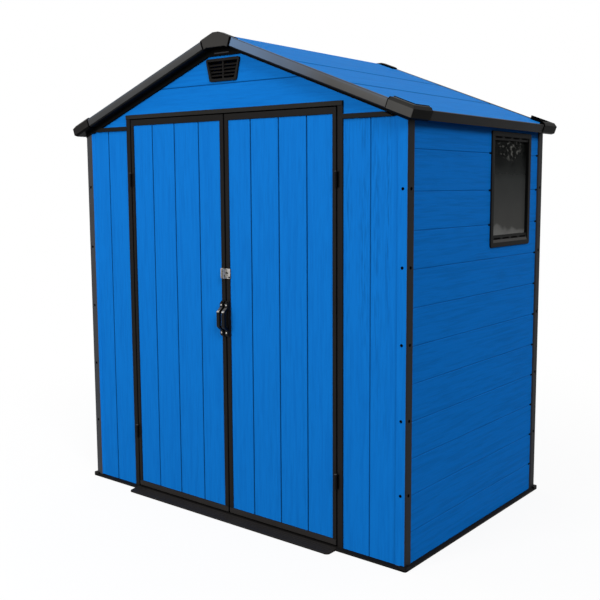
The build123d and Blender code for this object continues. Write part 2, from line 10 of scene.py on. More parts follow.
import bpy
import numpy as np
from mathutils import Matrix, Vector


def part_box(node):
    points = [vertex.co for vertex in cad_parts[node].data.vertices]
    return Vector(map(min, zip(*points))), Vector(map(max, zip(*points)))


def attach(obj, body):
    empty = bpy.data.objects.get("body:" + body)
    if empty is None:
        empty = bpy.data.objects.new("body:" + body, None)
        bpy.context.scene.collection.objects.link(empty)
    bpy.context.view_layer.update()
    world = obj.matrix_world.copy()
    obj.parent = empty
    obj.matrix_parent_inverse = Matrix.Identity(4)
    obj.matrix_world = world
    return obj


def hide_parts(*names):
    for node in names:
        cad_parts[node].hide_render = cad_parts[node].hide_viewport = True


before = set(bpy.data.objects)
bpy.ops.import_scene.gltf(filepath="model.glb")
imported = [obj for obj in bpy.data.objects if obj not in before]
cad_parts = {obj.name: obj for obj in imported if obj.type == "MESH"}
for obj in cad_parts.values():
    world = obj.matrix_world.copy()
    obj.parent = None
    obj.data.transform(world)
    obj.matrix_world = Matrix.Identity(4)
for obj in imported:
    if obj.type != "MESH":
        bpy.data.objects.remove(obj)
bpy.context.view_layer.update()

# %% [markdown]
# ## Sizes that come from the frame
# A CAD node knows where it is, so lengths are read from the nodes' boxes in place of being typed
# twice. All shapes below are worked out in millimetres and put into meshes in metres.

# %% Main sizes in millimetres
MM = 0.001


def span(node, axis):
    """Lowest and highest coordinate of a CAD node along one axis, in millimetres."""
    low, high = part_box(node)
    return low[axis] / MM, high[axis] / MM


half_width = span("corner_posts", 0)[1]
half_depth = span("corner_posts", 1)[1]
rail_top, wall_top = span("back_wall", 2)
rail_drop = 5.5
rail_height = rail_top - rail_drop
post_inner_x = span("back_wall", 0)[1]
post_inner_y = span("left_wall", 1)[1]
wall_thickness = 16.0
wall_x = span("right_wall_front", 0)[1]
wall_y = span("back_wall", 1)[1]
slope = math.radians(20.4)
roof_thickness = 28.0
roof_under = span("front_gable", 2)[1]
ridge_height = roof_under + roof_thickness / math.cos(slope)
head_top = span("door_head", 2)[1]
print(f"shed {2 * half_width:.0f} x {2 * half_depth:.0f} mm, ridge {ridge_height:.0f} mm")


def under_roof(x):
    """Height of the roof's underside at a distance x from the middle: a straight fall from the ridge."""
    return roof_under - np.abs(x) * math.tan(slope)


# %% [markdown]
# ## Camera
# The eye stands to the right of the doors at about chest height and looks slightly down. A lens of
# about 53 mm gives the same convergence of the wall lines as in the picture. The small shift puts
# the shed a little right of and above the middle without tilting the walls.

# %% Camera
eye = (2.6582, -3.2677, 1.4673)
turn, dip = math.radians(37.191), math.radians(6.723)
camera_data = bpy.data.cameras.new("eye")
camera_data.sensor_width = 36.0
camera_data.lens = 52.726
camera_data.shift_x = -0.0655
camera_data.shift_y = -0.0220
camera = bpy.data.objects.new("eye", camera_data)
camera.location = eye
camera.rotation_euler = (math.pi / 2 - dip, 0.0, turn)
bpy.context.scene.collection.objects.link(camera)
bpy.context.scene.camera = camera
print("camera at", eye)

# %% [markdown]
# ## Colours and nodes
# Colours are written as the sRGB hex values that a paint card would give, and one function turns
# them to the linear numbers that the shader wants. One small function adds any kind of node with
# its settings and its links, so that a material reads as a list of what feeds what.


# %% Colour and node helpers
def colour(hex_value):
    """sRGB hex to linear RGBA: below 0.04045 divide by 12.92, above it take the 2.4 power curve."""
    srgb = np.array([int(hex_value[i:i + 2], 16) for i in (1, 3, 5)]) / 255
    linear = np.where(srgb <= 0.04045, srgb / 12.92, ((srgb + 0.055) / 1.055) ** 2.4)
    return (*linear.tolist(), 1.0)


def feed(tree, target, inputs):
    """Fill a node's sockets: each gets a constant, or a link from another node's socket."""
    for key, value in dict(inputs).items():
        if isinstance(value, bpy.types.NodeSocket):
            tree.links.new(value, target.inputs[key])
        else:
            target.inputs[key].default_value = value


def node(tree, kind, inputs=(), stops=(), **settings):
    """Add one node: settings are its properties, inputs pairs a socket with a value or another socket.

    Stops are for a colour ramp: pairs of a place and a hex colour or grey level.
    """
    made = tree.nodes.new(kind)
    for key, value in settings.items():
        setattr(made, key, value)
    feed(tree, made, inputs)
    for place, _ in stops[2:]:
        made.color_ramp.elements.new(place)
    for number, (place, shade) in enumerate(stops):
        stop = made.color_ramp.elements[number]
        stop.position = place
        stop.color = colour(shade) if isinstance(shade, str) else (shade, shade, shade, 1.0)
    return made


def new_material(name):
    """Empty node material with one Principled shader: returns the material, its tree and the shader."""
    material = bpy.data.materials.new(name)
    material.use_nodes = True
    tree = material.node_tree
    return material, tree, tree.nodes["Principled BSDF"]


# %% [markdown]
# ## Light and floor
# A plain studio with soft lights. A broad panel at the front left is the key. A softer light from
# high on the right reaches the roof and grazes the right wall, so the eave shades the top of that wall.
# The surround is white to the eye, to gloss and through glass. For diffuse light it is dim at the right
# front and brighter at the left and behind, which fills the sides that the two lamps miss. The floor is
# white with a pale shadow that fades a few metres off, and returns less light than it shows.


# %% Surround
def shown_rays(tree):
    """1 for the rays that show a surface to the eye, straight, in gloss or through glass, else 0."""
    path = node(tree, "ShaderNodeLightPath").outputs
    shown = node(tree, "ShaderNodeMath", {0: path["Is Camera Ray"], 1: path["Is Glossy Ray"]},
                 operation="MAXIMUM").outputs[0]
    return node(tree, "ShaderNodeMath", {0: shown, 1: path["Is Transmission Ray"]},
                operation="MAXIMUM").outputs[0]


scene = bpy.context.scene
scene.view_settings.view_transform = "Standard"
surround = bpy.data.worlds.new("pale_surround")
surround.use_nodes = True
scene.world = surround
tree = surround.node_tree
tree.nodes.clear()
towards = node(tree, "ShaderNodeTexCoord").outputs["Generated"]
bright_side = node(tree, "ShaderNodeVectorMath", {0: towards, 1: (-0.70, 0.60, 0.38)},
                   operation="DOT_PRODUCT").outputs["Value"]
level_there = node(tree, "ShaderNodeMapRange", {"Value": bright_side, "From Min": -1.0, "From Max": 1.0,
                                                "To Min": 0.06, "To Max": 0.86}).outputs[0]
fill = node(tree, "ShaderNodeBackground", {"Color": level_there, "Strength": 1.0}).outputs[0]
white = node(tree, "ShaderNodeBackground", {"Color": (1, 1, 1, 1), "Strength": 1.0}).outputs[0]
both = node(tree, "ShaderNodeMixShader", {0: shown_rays(tree), 1: fill, 2: white}).outputs[0]
node(tree, "ShaderNodeOutputWorld", {"Surface": both})


# %% Lamps
def aim(lamp, towards):
    """Turn a lamp so that it shines from a direction: tip by the angle off +Z, then turn about Z."""
    lamp.rotation_euler = (math.atan2(math.hypot(*towards[:2]), towards[2]), 0.0,
                           math.atan2(towards[0], -towards[1]))
    scene.collection.objects.link(lamp)


key_data = bpy.data.lights.new("soft_key", "AREA")
key_data.size = 3.2
key_data.energy = 340.0
key = bpy.data.objects.new("soft_key", key_data)
key_from, key_distance, key_target = np.array((-0.17, -0.92, 0.36)), 7.5, np.array((0.0, -0.57, 1.1))
key.location = key_target + key_from * key_distance
key.visible_camera = False
aim(key, key_from)
high_data = bpy.data.lights.new("soft_high", "SUN")
high_data.energy = 1.5
high_data.angle = math.radians(24)
high = bpy.data.objects.new("soft_high", high_data)
aim(high, (0.70, -0.40, 0.50))
print("lamps:", key.name, high.name)


# %% Floor
def make_floor():
    """Flat square far wider than the view: white with a pale shadow to the eye, grey to bounced light."""
    reach = 60.0
    corners = np.array([(-1, -1, 0), (1, -1, 0), (1, 1, 0), (-1, 1, 0)]) * reach
    mesh = bpy.data.meshes.new("floor")
    mesh.from_pydata(corners.tolist(), [], [(0, 1, 2, 3)])
    floor = bpy.data.objects.new("floor", mesh)
    material, tree, shader = new_material("matt_studio_floor")
    bounce = node(tree, "ShaderNodeBsdfDiffuse", {"Color": colour("#4A4A4A")}).outputs[0]
    pale = node(tree, "ShaderNodeBsdfDiffuse", {"Color": colour("#FAFAFA")}).outputs[0]
    glow = node(tree, "ShaderNodeEmission", {"Color": (1, 1, 1, 1), "Strength": 1.0}).outputs[0]
    where = node(tree, "ShaderNodeTexCoord").outputs["Object"]
    away = node(tree, "ShaderNodeVectorMath", {0: where}, operation="LENGTH").outputs["Value"]
    faded = node(tree, "ShaderNodeMapRange", {"Value": away, "From Min": 1.2, "From Max": 3.6, "To Min": 0.9},
                 interpolation_type="SMOOTHSTEP").outputs[0]
    pale = node(tree, "ShaderNodeMixShader", {0: faded, 1: pale, 2: glow}).outputs[0]
    mixed = node(tree, "ShaderNodeMixShader", {0: shown_rays(tree), 1: bounce, 2: pale}).outputs[0]
    tree.links.new(mixed, tree.nodes["Material Output"].inputs["Surface"])
    tree.nodes.remove(shader)
    mesh.materials.append(material)
    scene.collection.objects.link(floor)
    return floor


print("floor:", make_floor().name)

# %% [markdown]
# ## Finishes: what the plastics and metals are
# The boards are polypropylene pressed in a mould that was etched with wood grain, so they are matt.
# Fine lines run along each board, pores show as soft dark streaks in patches, and the grooves between
# boards are painted dark as shade in their hollows. Each board mesh below carries its own attributes: the
# place on the board (along, across, which board), how deep the pressed streak is there, how deep in a
# groove, and how dark the pores are. So one material serves boards that run along X, along Y and
# upright. The lower boards are painted darker as painted shade, most at the foot.

# %% Board plastic
plastic_ior = 1.49


def make_board_plastic(name, face, hollow, groove_shade, sheen_level):
    """Moulded polypropylene: lines 4 mm apart and 110 mm long, pores 7 mm wide and 80 mm long."""
    material, tree, shader = new_material(name)
    where = node(tree, "ShaderNodeAttribute", attribute_name="board_place").outputs["Vector"]
    streak, groove, porous = (node(tree, "ShaderNodeAttribute", attribute_name=key).outputs["Fac"]
                              for key in ("streak", "groove", "pores"))
    lines = node(tree, "ShaderNodeMapping", {"Vector": where, "Scale": (9.0, 250.0, 7.3)}).outputs[0]
    fine = node(tree, "ShaderNodeTexNoise",
                {"Vector": lines, "Scale": 1.0, "Detail": 4.0, "Roughness": 0.6}).outputs["Fac"]
    short = node(tree, "ShaderNodeMapping", {"Vector": where, "Scale": (12.0, 150.0, 3.7)}).outputs[0]
    ticks = node(tree, "ShaderNodeTexNoise", {"Vector": short, "Scale": 1.0, "Detail": 2.0}).outputs["Fac"]
    patches = node(tree, "ShaderNodeMapping", {"Vector": where, "Scale": (2.2, 14.0, 5.1)}).outputs[0]
    broad = node(tree, "ShaderNodeTexNoise", {"Vector": patches, "Scale": 1.0, "Detail": 2.0}).outputs["Fac"]
    tone = node(tree, "ShaderNodeMath", {0: streak, 1: 0.35, 2: fine}, operation="MULTIPLY_ADD").outputs[0]
    tone = node(tree, "ShaderNodeMath", {0: broad, 1: 0.5, 2: tone}, operation="MULTIPLY_ADD").outputs[0]
    tint = node(tree, "ShaderNodeValToRGB", {"Fac": tone}, [(0.62, hollow), (1.0, face)]).outputs["Color"]
    place = node(tree, "ShaderNodeTexCoord").outputs["Object"]
    height = node(tree, "ShaderNodeSeparateXYZ", {0: place}).outputs["Z"]
    # Painted shade: the colour is darker below 1.5 m, most at the foot.
    painted_foot_shade = node(tree, "ShaderNodeMapRange", {"Value": height, "From Max": 1.5, "To Min": 0.91}).outputs[0]
    tint = node(tree, "ShaderNodeVectorMath", {0: tint, 1: painted_foot_shade}, operation="MULTIPLY").outputs[0]
    pores = node(tree, "ShaderNodeMapRange", {"Value": ticks, "From Min": 0.42, "From Max": 0.75}).outputs[0]
    crowd = node(tree, "ShaderNodeMapRange", {"Value": broad, "From Min": 0.3, "From Max": 0.55}).outputs[0]
    pores = node(tree, "ShaderNodeMath", {0: pores, 1: crowd}, operation="MULTIPLY").outputs[0]
    pores = node(tree, "ShaderNodeMath", {0: pores, 1: porous}, operation="MULTIPLY").outputs[0]
    # The grooves are painted dark as shade in their hollows; the pores are the grain's own dark.
    dark = node(tree, "ShaderNodeMath", {0: pores, 1: groove}, operation="MAXIMUM").outputs[0]
    tint = node(tree, "ShaderNodeMix", {"Factor": dark, 6: tint, 7: colour(groove_shade)},
                data_type="RGBA").outputs[2]
    polish = node(tree, "ShaderNodeMapRange", {"Value": fine, "To Min": 0.46, "To Max": 0.62}).outputs[0]
    relief = node(tree, "ShaderNodeBump", {"Height": fine, "Strength": 0.3, "Distance": 0.0006}).outputs[0]
    feed(tree, shader, {"Base Color": tint, "Roughness": polish, "Normal": relief, "IOR": plastic_ior,
                        "Specular IOR Level": sheen_level})
    return material


board_plastic = make_board_plastic("moulded_blue_polypropylene", "#0F78D3", "#0D71CA", "#031E3E", 0.02)
side_plastic = make_board_plastic("moulded_blue_side_polypropylene", "#0E77D6", "#0C6EC6", "#042A52", 0.014)
# The roof's paler colour is painted sheen of the sky on the slope.
roof_plastic = make_board_plastic("moulded_blue_roof_polypropylene", "#1A7DD1", "#1776C9", "#062B54", 0.006)

# %% [markdown]
# The trim is the same plastic pigmented with carbon black. Its mould was spark-eroded, so the surface
# has a fine even grit that scatters the light and leaves only a dull sheen. Grit is about 0.5 mm on
# the real part, which is under a pixel here, so it is drawn at 3 mm to show at all. Faces that look
# out of the gable or to the sky are painted a second colour, mostly a paler dark grey, as painted light
# where the lamps and sky fall on them, and the rest stays black: an attribute says how much of that
# painted light each face takes. The paler grey is stronger on the right end of the shed. The bargeboards
# also have a painted reflection, a pale blue-grey just right of the ridge and along their upper edge,
# and their faces are painted lighter towards the top.


# %% Trim plastic
def make_trim_plastic(name, face, lit_left, lit_right, roughness, sheen_level, grit_mm=3.0, painted_reflection=None):
    """Carbon-black polypropylene from an eroded mould, with grit bump and front faces painted paler as
    painted light.
    """
    material, tree, shader = new_material(name)
    where = node(tree, "ShaderNodeTexCoord").outputs["Object"]
    # front: how much of the painted light a face takes, from the piece's 'front' attribute.
    front = node(tree, "ShaderNodeAttribute", attribute_name="front").outputs["Fac"]
    across = node(tree, "ShaderNodeSeparateXYZ", {0: where}).outputs["X"]
    ends = node(tree, "ShaderNodeMapRange", {"Value": across, "From Min": -0.95, "From Max": 0.95}).outputs[0]
    painted_lit_tint = node(tree, "ShaderNodeMix", {"Factor": ends, 6: colour(lit_left), 7: colour(lit_right)},
                    data_type="RGBA").outputs[2]
    # Painted reflection: a pale blue-grey just right of the ridge and along the upper edge, and the face
    # painted lighter towards its top.
    if painted_reflection:
        reflection_share = node(tree, "ShaderNodeValToRGB", {"Fac": across},
                    [(0.0, 0.0), (0.04, 0.0), (0.07, 1.0), (0.17, 0.75), (0.6, 0.0)]).outputs["Color"]
        rise = node(tree, "ShaderNodeAttribute", attribute_name="rise").outputs["Fac"]
        edge = node(tree, "ShaderNodeMapRange", {"Value": rise, "From Min": 0.7, "To Max": 0.22}).outputs[0]
        reflection_share = node(tree, "ShaderNodeMath", {0: reflection_share, 1: edge}, operation="MAXIMUM").outputs[0]
        share = node(tree, "ShaderNodeMapRange", {"Value": rise, "To Min": 0.82, "To Max": 1.14}).outputs[0]
        painted_lit_tint = node(tree, "ShaderNodeVectorMath", {0: painted_lit_tint, 1: share},
                        operation="MULTIPLY").outputs[0]
        painted_lit_tint = node(tree, "ShaderNodeMix", {"Factor": reflection_share, 6: painted_lit_tint, 7: colour(painted_reflection)},
                        data_type="RGBA").outputs[2]
    tint = node(tree, "ShaderNodeMix", {"Factor": front, 6: colour(face), 7: painted_lit_tint},
                data_type="RGBA").outputs[2]
    grit = node(tree, "ShaderNodeTexNoise",
                {"Vector": where, "Scale": 1 / (grit_mm * MM), "Detail": 2.0}).outputs["Fac"]
    drift = node(tree, "ShaderNodeTexNoise", {"Vector": where, "Scale": 6.0, "Detail": 3.0}).outputs["Fac"]
    shade = node(tree, "ShaderNodeMapRange", {"Value": drift, "To Min": 0.75, "To Max": 1.25}).outputs[0]
    tint = node(tree, "ShaderNodeVectorMath", {0: tint, 1: shade}, operation="MULTIPLY").outputs[0]
    polish = node(tree, "ShaderNodeMapRange",
                  {"Value": drift, "To Min": roughness - 0.05, "To Max": roughness + 0.05}).outputs[0]
    relief = node(tree, "ShaderNodeBump", {"Height": grit, "Strength": 0.25, "Distance": 0.0005}).outputs[0]
    feed(tree, shader, {"Base Color": tint, "Roughness": polish, "Normal": relief, "IOR": plastic_ior,
                        "Specular IOR Level": sheen_level})
    return material


# The third and fourth colours are painted light: the paler colours of front and top faces at the left and
# right ends.
trim_plastic = make_trim_plastic("black_polypropylene", "#1B1A1A", "#131211", "#1C1A19", 0.5, 0.055)
head_plastic = make_trim_plastic("door_head_polypropylene", "#1B1A1A", "#232220", "#232220", 0.5, 0.055)
window_plastic = make_trim_plastic("window_black_polypropylene", "#131313", "#131313", "#131313", 0.5, 0.035)
post_plastic = make_trim_plastic("slate_black_polypropylene", "#1C1D20", "#3D3E41", "#3D3E41", 0.5, 0.06)
barge_plastic = make_trim_plastic("barge_black_painted_reflection", "#151515", "#404142", "#565554", 0.42, 0.05,
                                  painted_reflection="#6882A3")
cap_plastic = make_trim_plastic("cap_black_polypropylene", "#080807", "#232221", "#4B4A48", 0.42, 0.02)
ledge_plastic = make_trim_plastic("pale_grey_polypropylene", "#464544", "#464544", "#464544", 0.6, 0.05)
ramp_plastic = make_trim_plastic("scuffed_black_polypropylene", "#262321", "#1E1D1C", "#1E1D1C", 0.55, 0.06)
kick_plastic = make_trim_plastic("paler_kick_polypropylene", "#2A2827", "#2A2827", "#2A2827", 0.5, 0.055)
rail_plastic = make_trim_plastic("rail_black_polypropylene", "#100F0F", "#181716", "#181716", 0.5, 0.04)
shade_plastic = make_trim_plastic("painted_shade_black_polypropylene", "#070707", "#0A0A09", "#0A0A09", 0.6, 0.02)
# Pure black: the post screw caps, and painted shade in gaps, hollows and along joints.
black_caps_and_shade = make_trim_plastic("black_caps_and_painted_shade", "#030303", "#030303", "#030303", 0.8, 0.01)
fitting_black = make_trim_plastic("black_coated_steel", "#090808", "#0A0909", "#0A0909", 0.28, 0.12, 1.5)
painted_sheen_coat = make_trim_plastic("steel_coat_painted_sheen", "#4A4846", "#4A4846", "#4A4846", 0.45, 0.1, 1.5)
hinge_leaf_shade = make_trim_plastic("hinge_steel_painted_shade", "#050505", "#060606", "#060606", 0.5, 0.03, 1.5)

# %% [markdown]
# The small fittings are pressed steel dipped in zinc. Zinc freezes in leafy crystals a few
# millimetres wide, the spangle, which shift the grey and the gloss from one crystal to the next.


# %% Zinc
def make_zinc(name, face, roughness, crystal_mm):
    """Zinc on steel: Voronoi cells stand for the crystals, each with its own grey and gloss."""
    material, tree, shader = new_material(name)
    where = node(tree, "ShaderNodeTexCoord").outputs["Object"]
    crystal = node(tree, "ShaderNodeTexVoronoi",
                   {"Vector": where, "Scale": 1 / (crystal_mm * MM)}).outputs["Color"]
    shade = node(tree, "ShaderNodeSeparateColor", {0: crystal}).outputs[0]
    light = np.array(colour(face))
    tint = node(tree, "ShaderNodeMix", {"Factor": shade, 6: tuple(light * 0.75), 7: tuple(light)},
                data_type="RGBA").outputs[2]
    polish = node(tree, "ShaderNodeMapRange",
                  {"Value": shade, "To Min": roughness - 0.08, "To Max": roughness + 0.1}).outputs[0]
    feed(tree, shader, {"Base Color": tint, "Roughness": polish, "Metallic": 1.0})
    return material


zinc = make_zinc("zinc_plated_steel", "#B2B0AC", 0.55, 5.0)
galvanised = make_zinc("galvanised_steel", "#A9ACAE", 0.45, 12.0)

# %% [markdown]
# The window is one sheet of grey-tinted acrylic. It lets a little of the dark room through, and its colour
# runs from darkest at the top to palest at the bottom. Near the top an old wipe left pale
# smears about 30 mm wide. The floor panel is ribbed plastic.


# %% Glazing and floor panel
def make_glazing():
    """Tinted acrylic: nearly opaque dark sheet, coloured palest towards its lower edge."""
    material, tree, shader = new_material("tinted_acrylic_sheet")
    where = node(tree, "ShaderNodeTexCoord").outputs["Object"]
    height = node(tree, "ShaderNodeSeparateXYZ", {0: where}).outputs["Z"]
    low, high = (edge * MM for edge in span("window_pane", 2))
    share = node(tree, "ShaderNodeMapRange", {"Value": height, "From Min": low, "From Max": high}).outputs[0]
    smear = node(tree, "ShaderNodeTexNoise", {"Vector": where, "Scale": 9.0, "Detail": 4.0}).outputs["Fac"]
    share = node(tree, "ShaderNodeMath", {0: smear, 1: 0.25, 2: share}, operation="MULTIPLY_ADD").outputs[0]
    pane_ramp = [(0.1, "#7D7D7B"), (0.19, "#6E6E6C"), (0.22, "#4E4E4C"), (0.5, "#444544"), (0.7, "#3B3D3C"),
            (0.8, "#2D2F2E"), (0.9, "#1D1F1E"), (1.0, "#101211")]
    tint = node(tree, "ShaderNodeValToRGB", {"Fac": share}, pane_ramp).outputs["Color"]
    spread = node(tree, "ShaderNodeMapping", {"Vector": where, "Scale": (1.0, 34.0, 50.0),
                                              "Location": (5.0, 2.0, 7.0)}).outputs[0]
    spots = node(tree, "ShaderNodeTexNoise", {"Vector": spread, "Scale": 1.0, "Detail": 4.0}).outputs["Fac"]
    spots = node(tree, "ShaderNodeMapRange", {"Value": spots, "From Min": 0.52, "From Max": 0.7}).outputs[0]
    off_wipe = node(tree, "ShaderNodeMapping", {"Vector": where, "Scale": (0.0, 7.0, 16.0),
                                                "Location": (0.0, -7.0 * 0.27, -16.0 * 1.615)}).outputs[0]
    off_wipe = node(tree, "ShaderNodeVectorMath", {0: off_wipe}, operation="LENGTH").outputs["Value"]
    wiped = node(tree, "ShaderNodeMapRange", {"Value": off_wipe, "From Min": 0.4, "From Max": 1.0,
                                              "To Min": 0.9, "To Max": 0.0}).outputs[0]
    spots = node(tree, "ShaderNodeMath", {0: spots, 1: wiped}, operation="MULTIPLY").outputs[0]
    tint = node(tree, "ShaderNodeMix", {"Factor": spots, 6: tint, 7: colour("#7A7A76")},
                data_type="RGBA").outputs[2]
    feed(tree, shader, {"Base Color": tint, "Roughness": 0.25, "IOR": plastic_ior,
                        "Specular IOR Level": 0.005, "Alpha": 0.92})
    return material


def make_ribbed_floor(rib_mm=24.0):
    """Dark moulded floor with narrow ribs across it, one every 24 mm."""
    material, tree, shader = new_material("ribbed_floor_polypropylene")
    where = node(tree, "ShaderNodeTexCoord").outputs["Object"]
    ribs = node(tree, "ShaderNodeTexWave",
                {"Vector": where, "Scale": 1 / (20 * rib_mm * MM) * 2 * math.pi, "Distortion": 0.0},
                bands_direction="X").outputs["Fac"]
    grit = node(tree, "ShaderNodeTexNoise", {"Vector": where, "Scale": 250.0}).outputs["Fac"]
    tint = node(tree, "ShaderNodeValToRGB", {"Fac": grit},
                [(0.3, "#2B2B2C"), (0.7, "#353536")]).outputs["Color"]
    relief = node(tree, "ShaderNodeBump", {"Height": ribs, "Strength": 0.6, "Distance": 0.003}).outputs[0]
    feed(tree, shader, {"Base Color": tint, "Normal": relief, "Roughness": 0.6})
    return material


glazing = make_glazing()
ribbed_floor = make_ribbed_floor()
print("finishes:", len(bpy.data.materials))

# %% [markdown]
# ## How the shapes are made
# Nearly every moulded piece is a closed outline carried along a way: a post is a rounded square
# carried upwards, a bargeboard a C carried down the roof. So one function skins a row of sections,
# and a few others make outlines. Rounded edges are part of the outlines, because a real moulding
# never has a knife edge, and that soft line of light is what tells the eye it is plastic.


# %% Outlines and skins
def rectangle(across, up):
    """Four corners between two pairs of limits, in order."""
    return [(across[0], up[0]), (across[1], up[0]), (across[1], up[1]), (across[0], up[1])]


def rounded(corners, radii, steps=3, inset=0.0):
    """Outline with arcs for corners: a circle of the radius touches both sides of each corner.

    An inset first moves every side inwards. Outer corners then get a smaller radius, inner ones a larger.
    """
    corner = np.asarray(corners, float)
    after = np.roll(corner, -1, 0)
    area = np.sum(corner[:, 0] * after[:, 1] - corner[:, 1] * after[:, 0])
    ahead = (after - corner) / np.linalg.norm(after - corner, axis=1, keepdims=True)
    back = -np.roll(ahead, 1, 0)
    turning = np.sign(area) * (ahead[:, 0] * back[:, 1] - ahead[:, 1] * back[:, 0])[:, None]
    half = np.arccos(np.clip((back * ahead).sum(1, keepdims=True), -1, 1)) / 2
    middle = (back + ahead) / np.linalg.norm(back + ahead, axis=1, keepdims=True)
    corner = corner + middle * np.sign(turning) * inset / np.sin(half)
    radius = np.broadcast_to(np.asarray(radii, float), len(corner))[:, None]
    radius = np.maximum(radius - np.sign(turning) * inset, 0.05)
    centre = corner + middle * radius / np.sin(half)
    first = corner + back * radius / np.tan(half) - centre
    last = corner + ahead * radius / np.tan(half) - centre
    sweep = np.pi - 2 * half
    share = np.linspace(0, 1, steps + 1)[None]
    near = np.sin((1 - share) * sweep) / np.sin(sweep)
    far = np.sin(share * sweep) / np.sin(sweep)
    arcs = centre[:, None] + near[..., None] * first[:, None] + far[..., None] * last[:, None]
    return arcs.reshape(-1, 2)


def face_volume(points, faces):
    """Six times the volume that faces enclose: triple products of each face cut into a fan."""
    first = points[faces[:, :1]]
    fan = np.cross(points[faces[:, 1:-1]], points[faces[:, 2:]])
    return float((first * fan).sum())


def skin(sections, loop=False):
    """Closed surface through sections[i, j], point j of section i, with flat ends unless it loops."""
    sections = np.asarray(sections, float)
    rows, columns = sections.shape[:2]
    index = np.arange(rows * columns).reshape(rows, columns)
    near = index if loop else index[:-1]
    far = np.roll(index, -1, 0) if loop else index[1:]
    quads = np.stack([near, np.roll(near, -1, 1), np.roll(far, -1, 1), far], -1).reshape(-1, 4)
    ends = [] if loop else [index[:1, ::-1], index[-1:]]
    points = sections.reshape(-1, 3)
    groups = [quads, *ends]
    if sum(face_volume(points, group) for group in groups) < 0:
        groups = [group[:, ::-1] for group in groups]
    return points, groups


def eased(length, ease):
    """Places along a length and how far the outline is drawn in there: a quarter circle at each end."""
    turn = np.linspace(0, np.pi / 2, 4)
    places = np.concatenate([ease * (1 - np.cos(turn)), (length - ease * (1 - np.cos(turn)))[::-1]])
    inset = np.concatenate([ease * (1 - np.sin(turn)), ease * (1 - np.sin(turn))[::-1]])
    return places, inset


def carried(corners, radii, origin, across, up, along, length, ease=1.0, steps=3):
    """Rounded outline in an across and up plane carried straight along a direction, both ends eased."""
    axes = np.array([across, up], float)
    places, insets = eased(length, ease)
    rings = np.stack([rounded(corners, radii, steps, inset) for inset in insets])
    return np.asarray(origin) + rings @ axes + places[:, None, None] * np.asarray(along, float)


# %% [markdown]
# One more function turns skins into a Blender object. The mesh is smooth shaded, edges sharper than
# 40 degrees stay crisp, and a weighted-normal modifier keeps the wide flat faces looking flat.

# %% Pieces
crisp_angle = math.radians(40)


def piece(name, skins, material, body="shed", stands_for=(), attributes=None):
    """Join skins into one object in metres, give it its finish and slot, and let it ride on a body."""
    points = np.concatenate([points for points, _ in skins]) * MM
    starts = np.cumsum([0] + [len(points) for points, _ in skins])
    faces = []
    for start, (_, groups) in zip(starts, skins):
        for group in groups:
            faces += (group + start).tolist()
    mesh = bpy.data.meshes.new(name)
    mesh.from_pydata(points.tolist(), [], faces)
    for key, (kind, field, values) in (attributes or {}).items():
        mesh.attributes.new(key, kind, "POINT").data.foreach_set(field, values.astype(np.float32).ravel())
    # Painted light: the 'front' attribute marks faces that look to the front and to the sky, where the lamps
    # and sky fall, and trim finishes paint them their paler colours.
    normals = np.zeros(3 * len(mesh.polygons), np.float32)
    mesh.polygons.foreach_get("normal", normals)
    painted_front_light = np.clip(-normals[1::3], 0, 1) ** 4 * (normals[2::3] > -0.3)
    painted_sky_light = 0.5 * np.clip(normals[2::3], 0, 1)
    mesh.attributes.new("front", "FLOAT", "FACE").data.foreach_set("value", np.maximum(painted_front_light, painted_sky_light))
    mesh.polygons.foreach_set("use_smooth", np.ones(len(mesh.polygons), bool))
    mesh.set_sharp_from_angle(angle=crisp_angle)
    mesh.materials.append(material)
    made = bpy.data.objects.new(name, mesh)
    scene.collection.objects.link(made)
    weights = made.modifiers.new("flat_faces", "WEIGHTED_NORMAL")
    weights.keep_sharp = True
    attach(made, body)
    if stands_for:
        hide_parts(*stands_for)
    print(f"{name}: {len(points)} points, {len(faces)} faces")
    return made


def flipped(sections, *axes):
    """Mirror copies of sections: the piece itself and its twins across each named axis."""
    copies = [np.asarray(sections, float)]
    for axis in axes:
        sign = np.ones(3)
        sign[axis] = -1
        copies += [copy * sign for copy in copies]
    return copies


def skinned(parts, *axes, loop=False):
    """Skins of some parts and of their twins across the named axes."""
    return [skin(one, loop) for part in parts for one in flipped(part, *axes)]


EAST, NORTH, UP = np.eye(3)
MIRROR = {"right": np.array((1, 1, 1)), "left": np.array((-1, 1, 1))}


# %% [markdown]
# ## Boards
# A board panel is a surface of two parameters: how far across the boards, and how far along them.
# Its depth is the groove between boards plus the pressed grain. Grain is a smooth random field that is
# stretched along the board, about 9 mm wide and 200 mm long, bent a little so that streaks wander,
# and a quarter of a millimetre deep. It is real relief in the mesh, so it also shows at a glancing angle.


# %% Grain and grooves
def value_noise(x, y, seed):
    """Random numbers at whole-number places, blended between them with the curve 3t2 - 2t3."""
    left, low = np.floor(x), np.floor(y)
    u, v = x - left, y - low
    u, v = u * u * (3 - 2 * u), v * v * (3 - 2 * v)

    def corner(i, j):
        mixed = np.sin(i * 12.9898 + j * 78.233 + seed * 37.719) * 43758.5453
        return mixed - np.floor(mixed)

    lower = corner(left, low) * (1 - u) + corner(left + 1, low) * u
    upper = corner(left, low + 1) * (1 - u) + corner(left + 1, low + 1) * u
    return lower * (1 - v) + upper * v


def pressed_grain(along, across, board):
    """Height of the grain from 0 to 1: two widths of streak, wandering sideways along the board."""
    wander = 10 * (value_noise(along / 260, across / 70, board + 3) - 0.5)
    wide = value_noise(along / 200, (across + wander) / 9, board)
    narrow = value_noise(along / 90, (across + wander) / 6, board + 9)
    return np.clip((0.6 * wide + 0.4 * narrow - 0.5) * 2.2 + 0.5, 0, 1)


groove_reach = np.array([0.0, 1.2, 2.3, 3.2, 4.1, 5.0])
groove_fall = np.array([3.6, 3.3, 2.0, 0.8, 0.2, 0.0])
grain_depth = 0.28
across_step, along_step = 3.0, 36.0


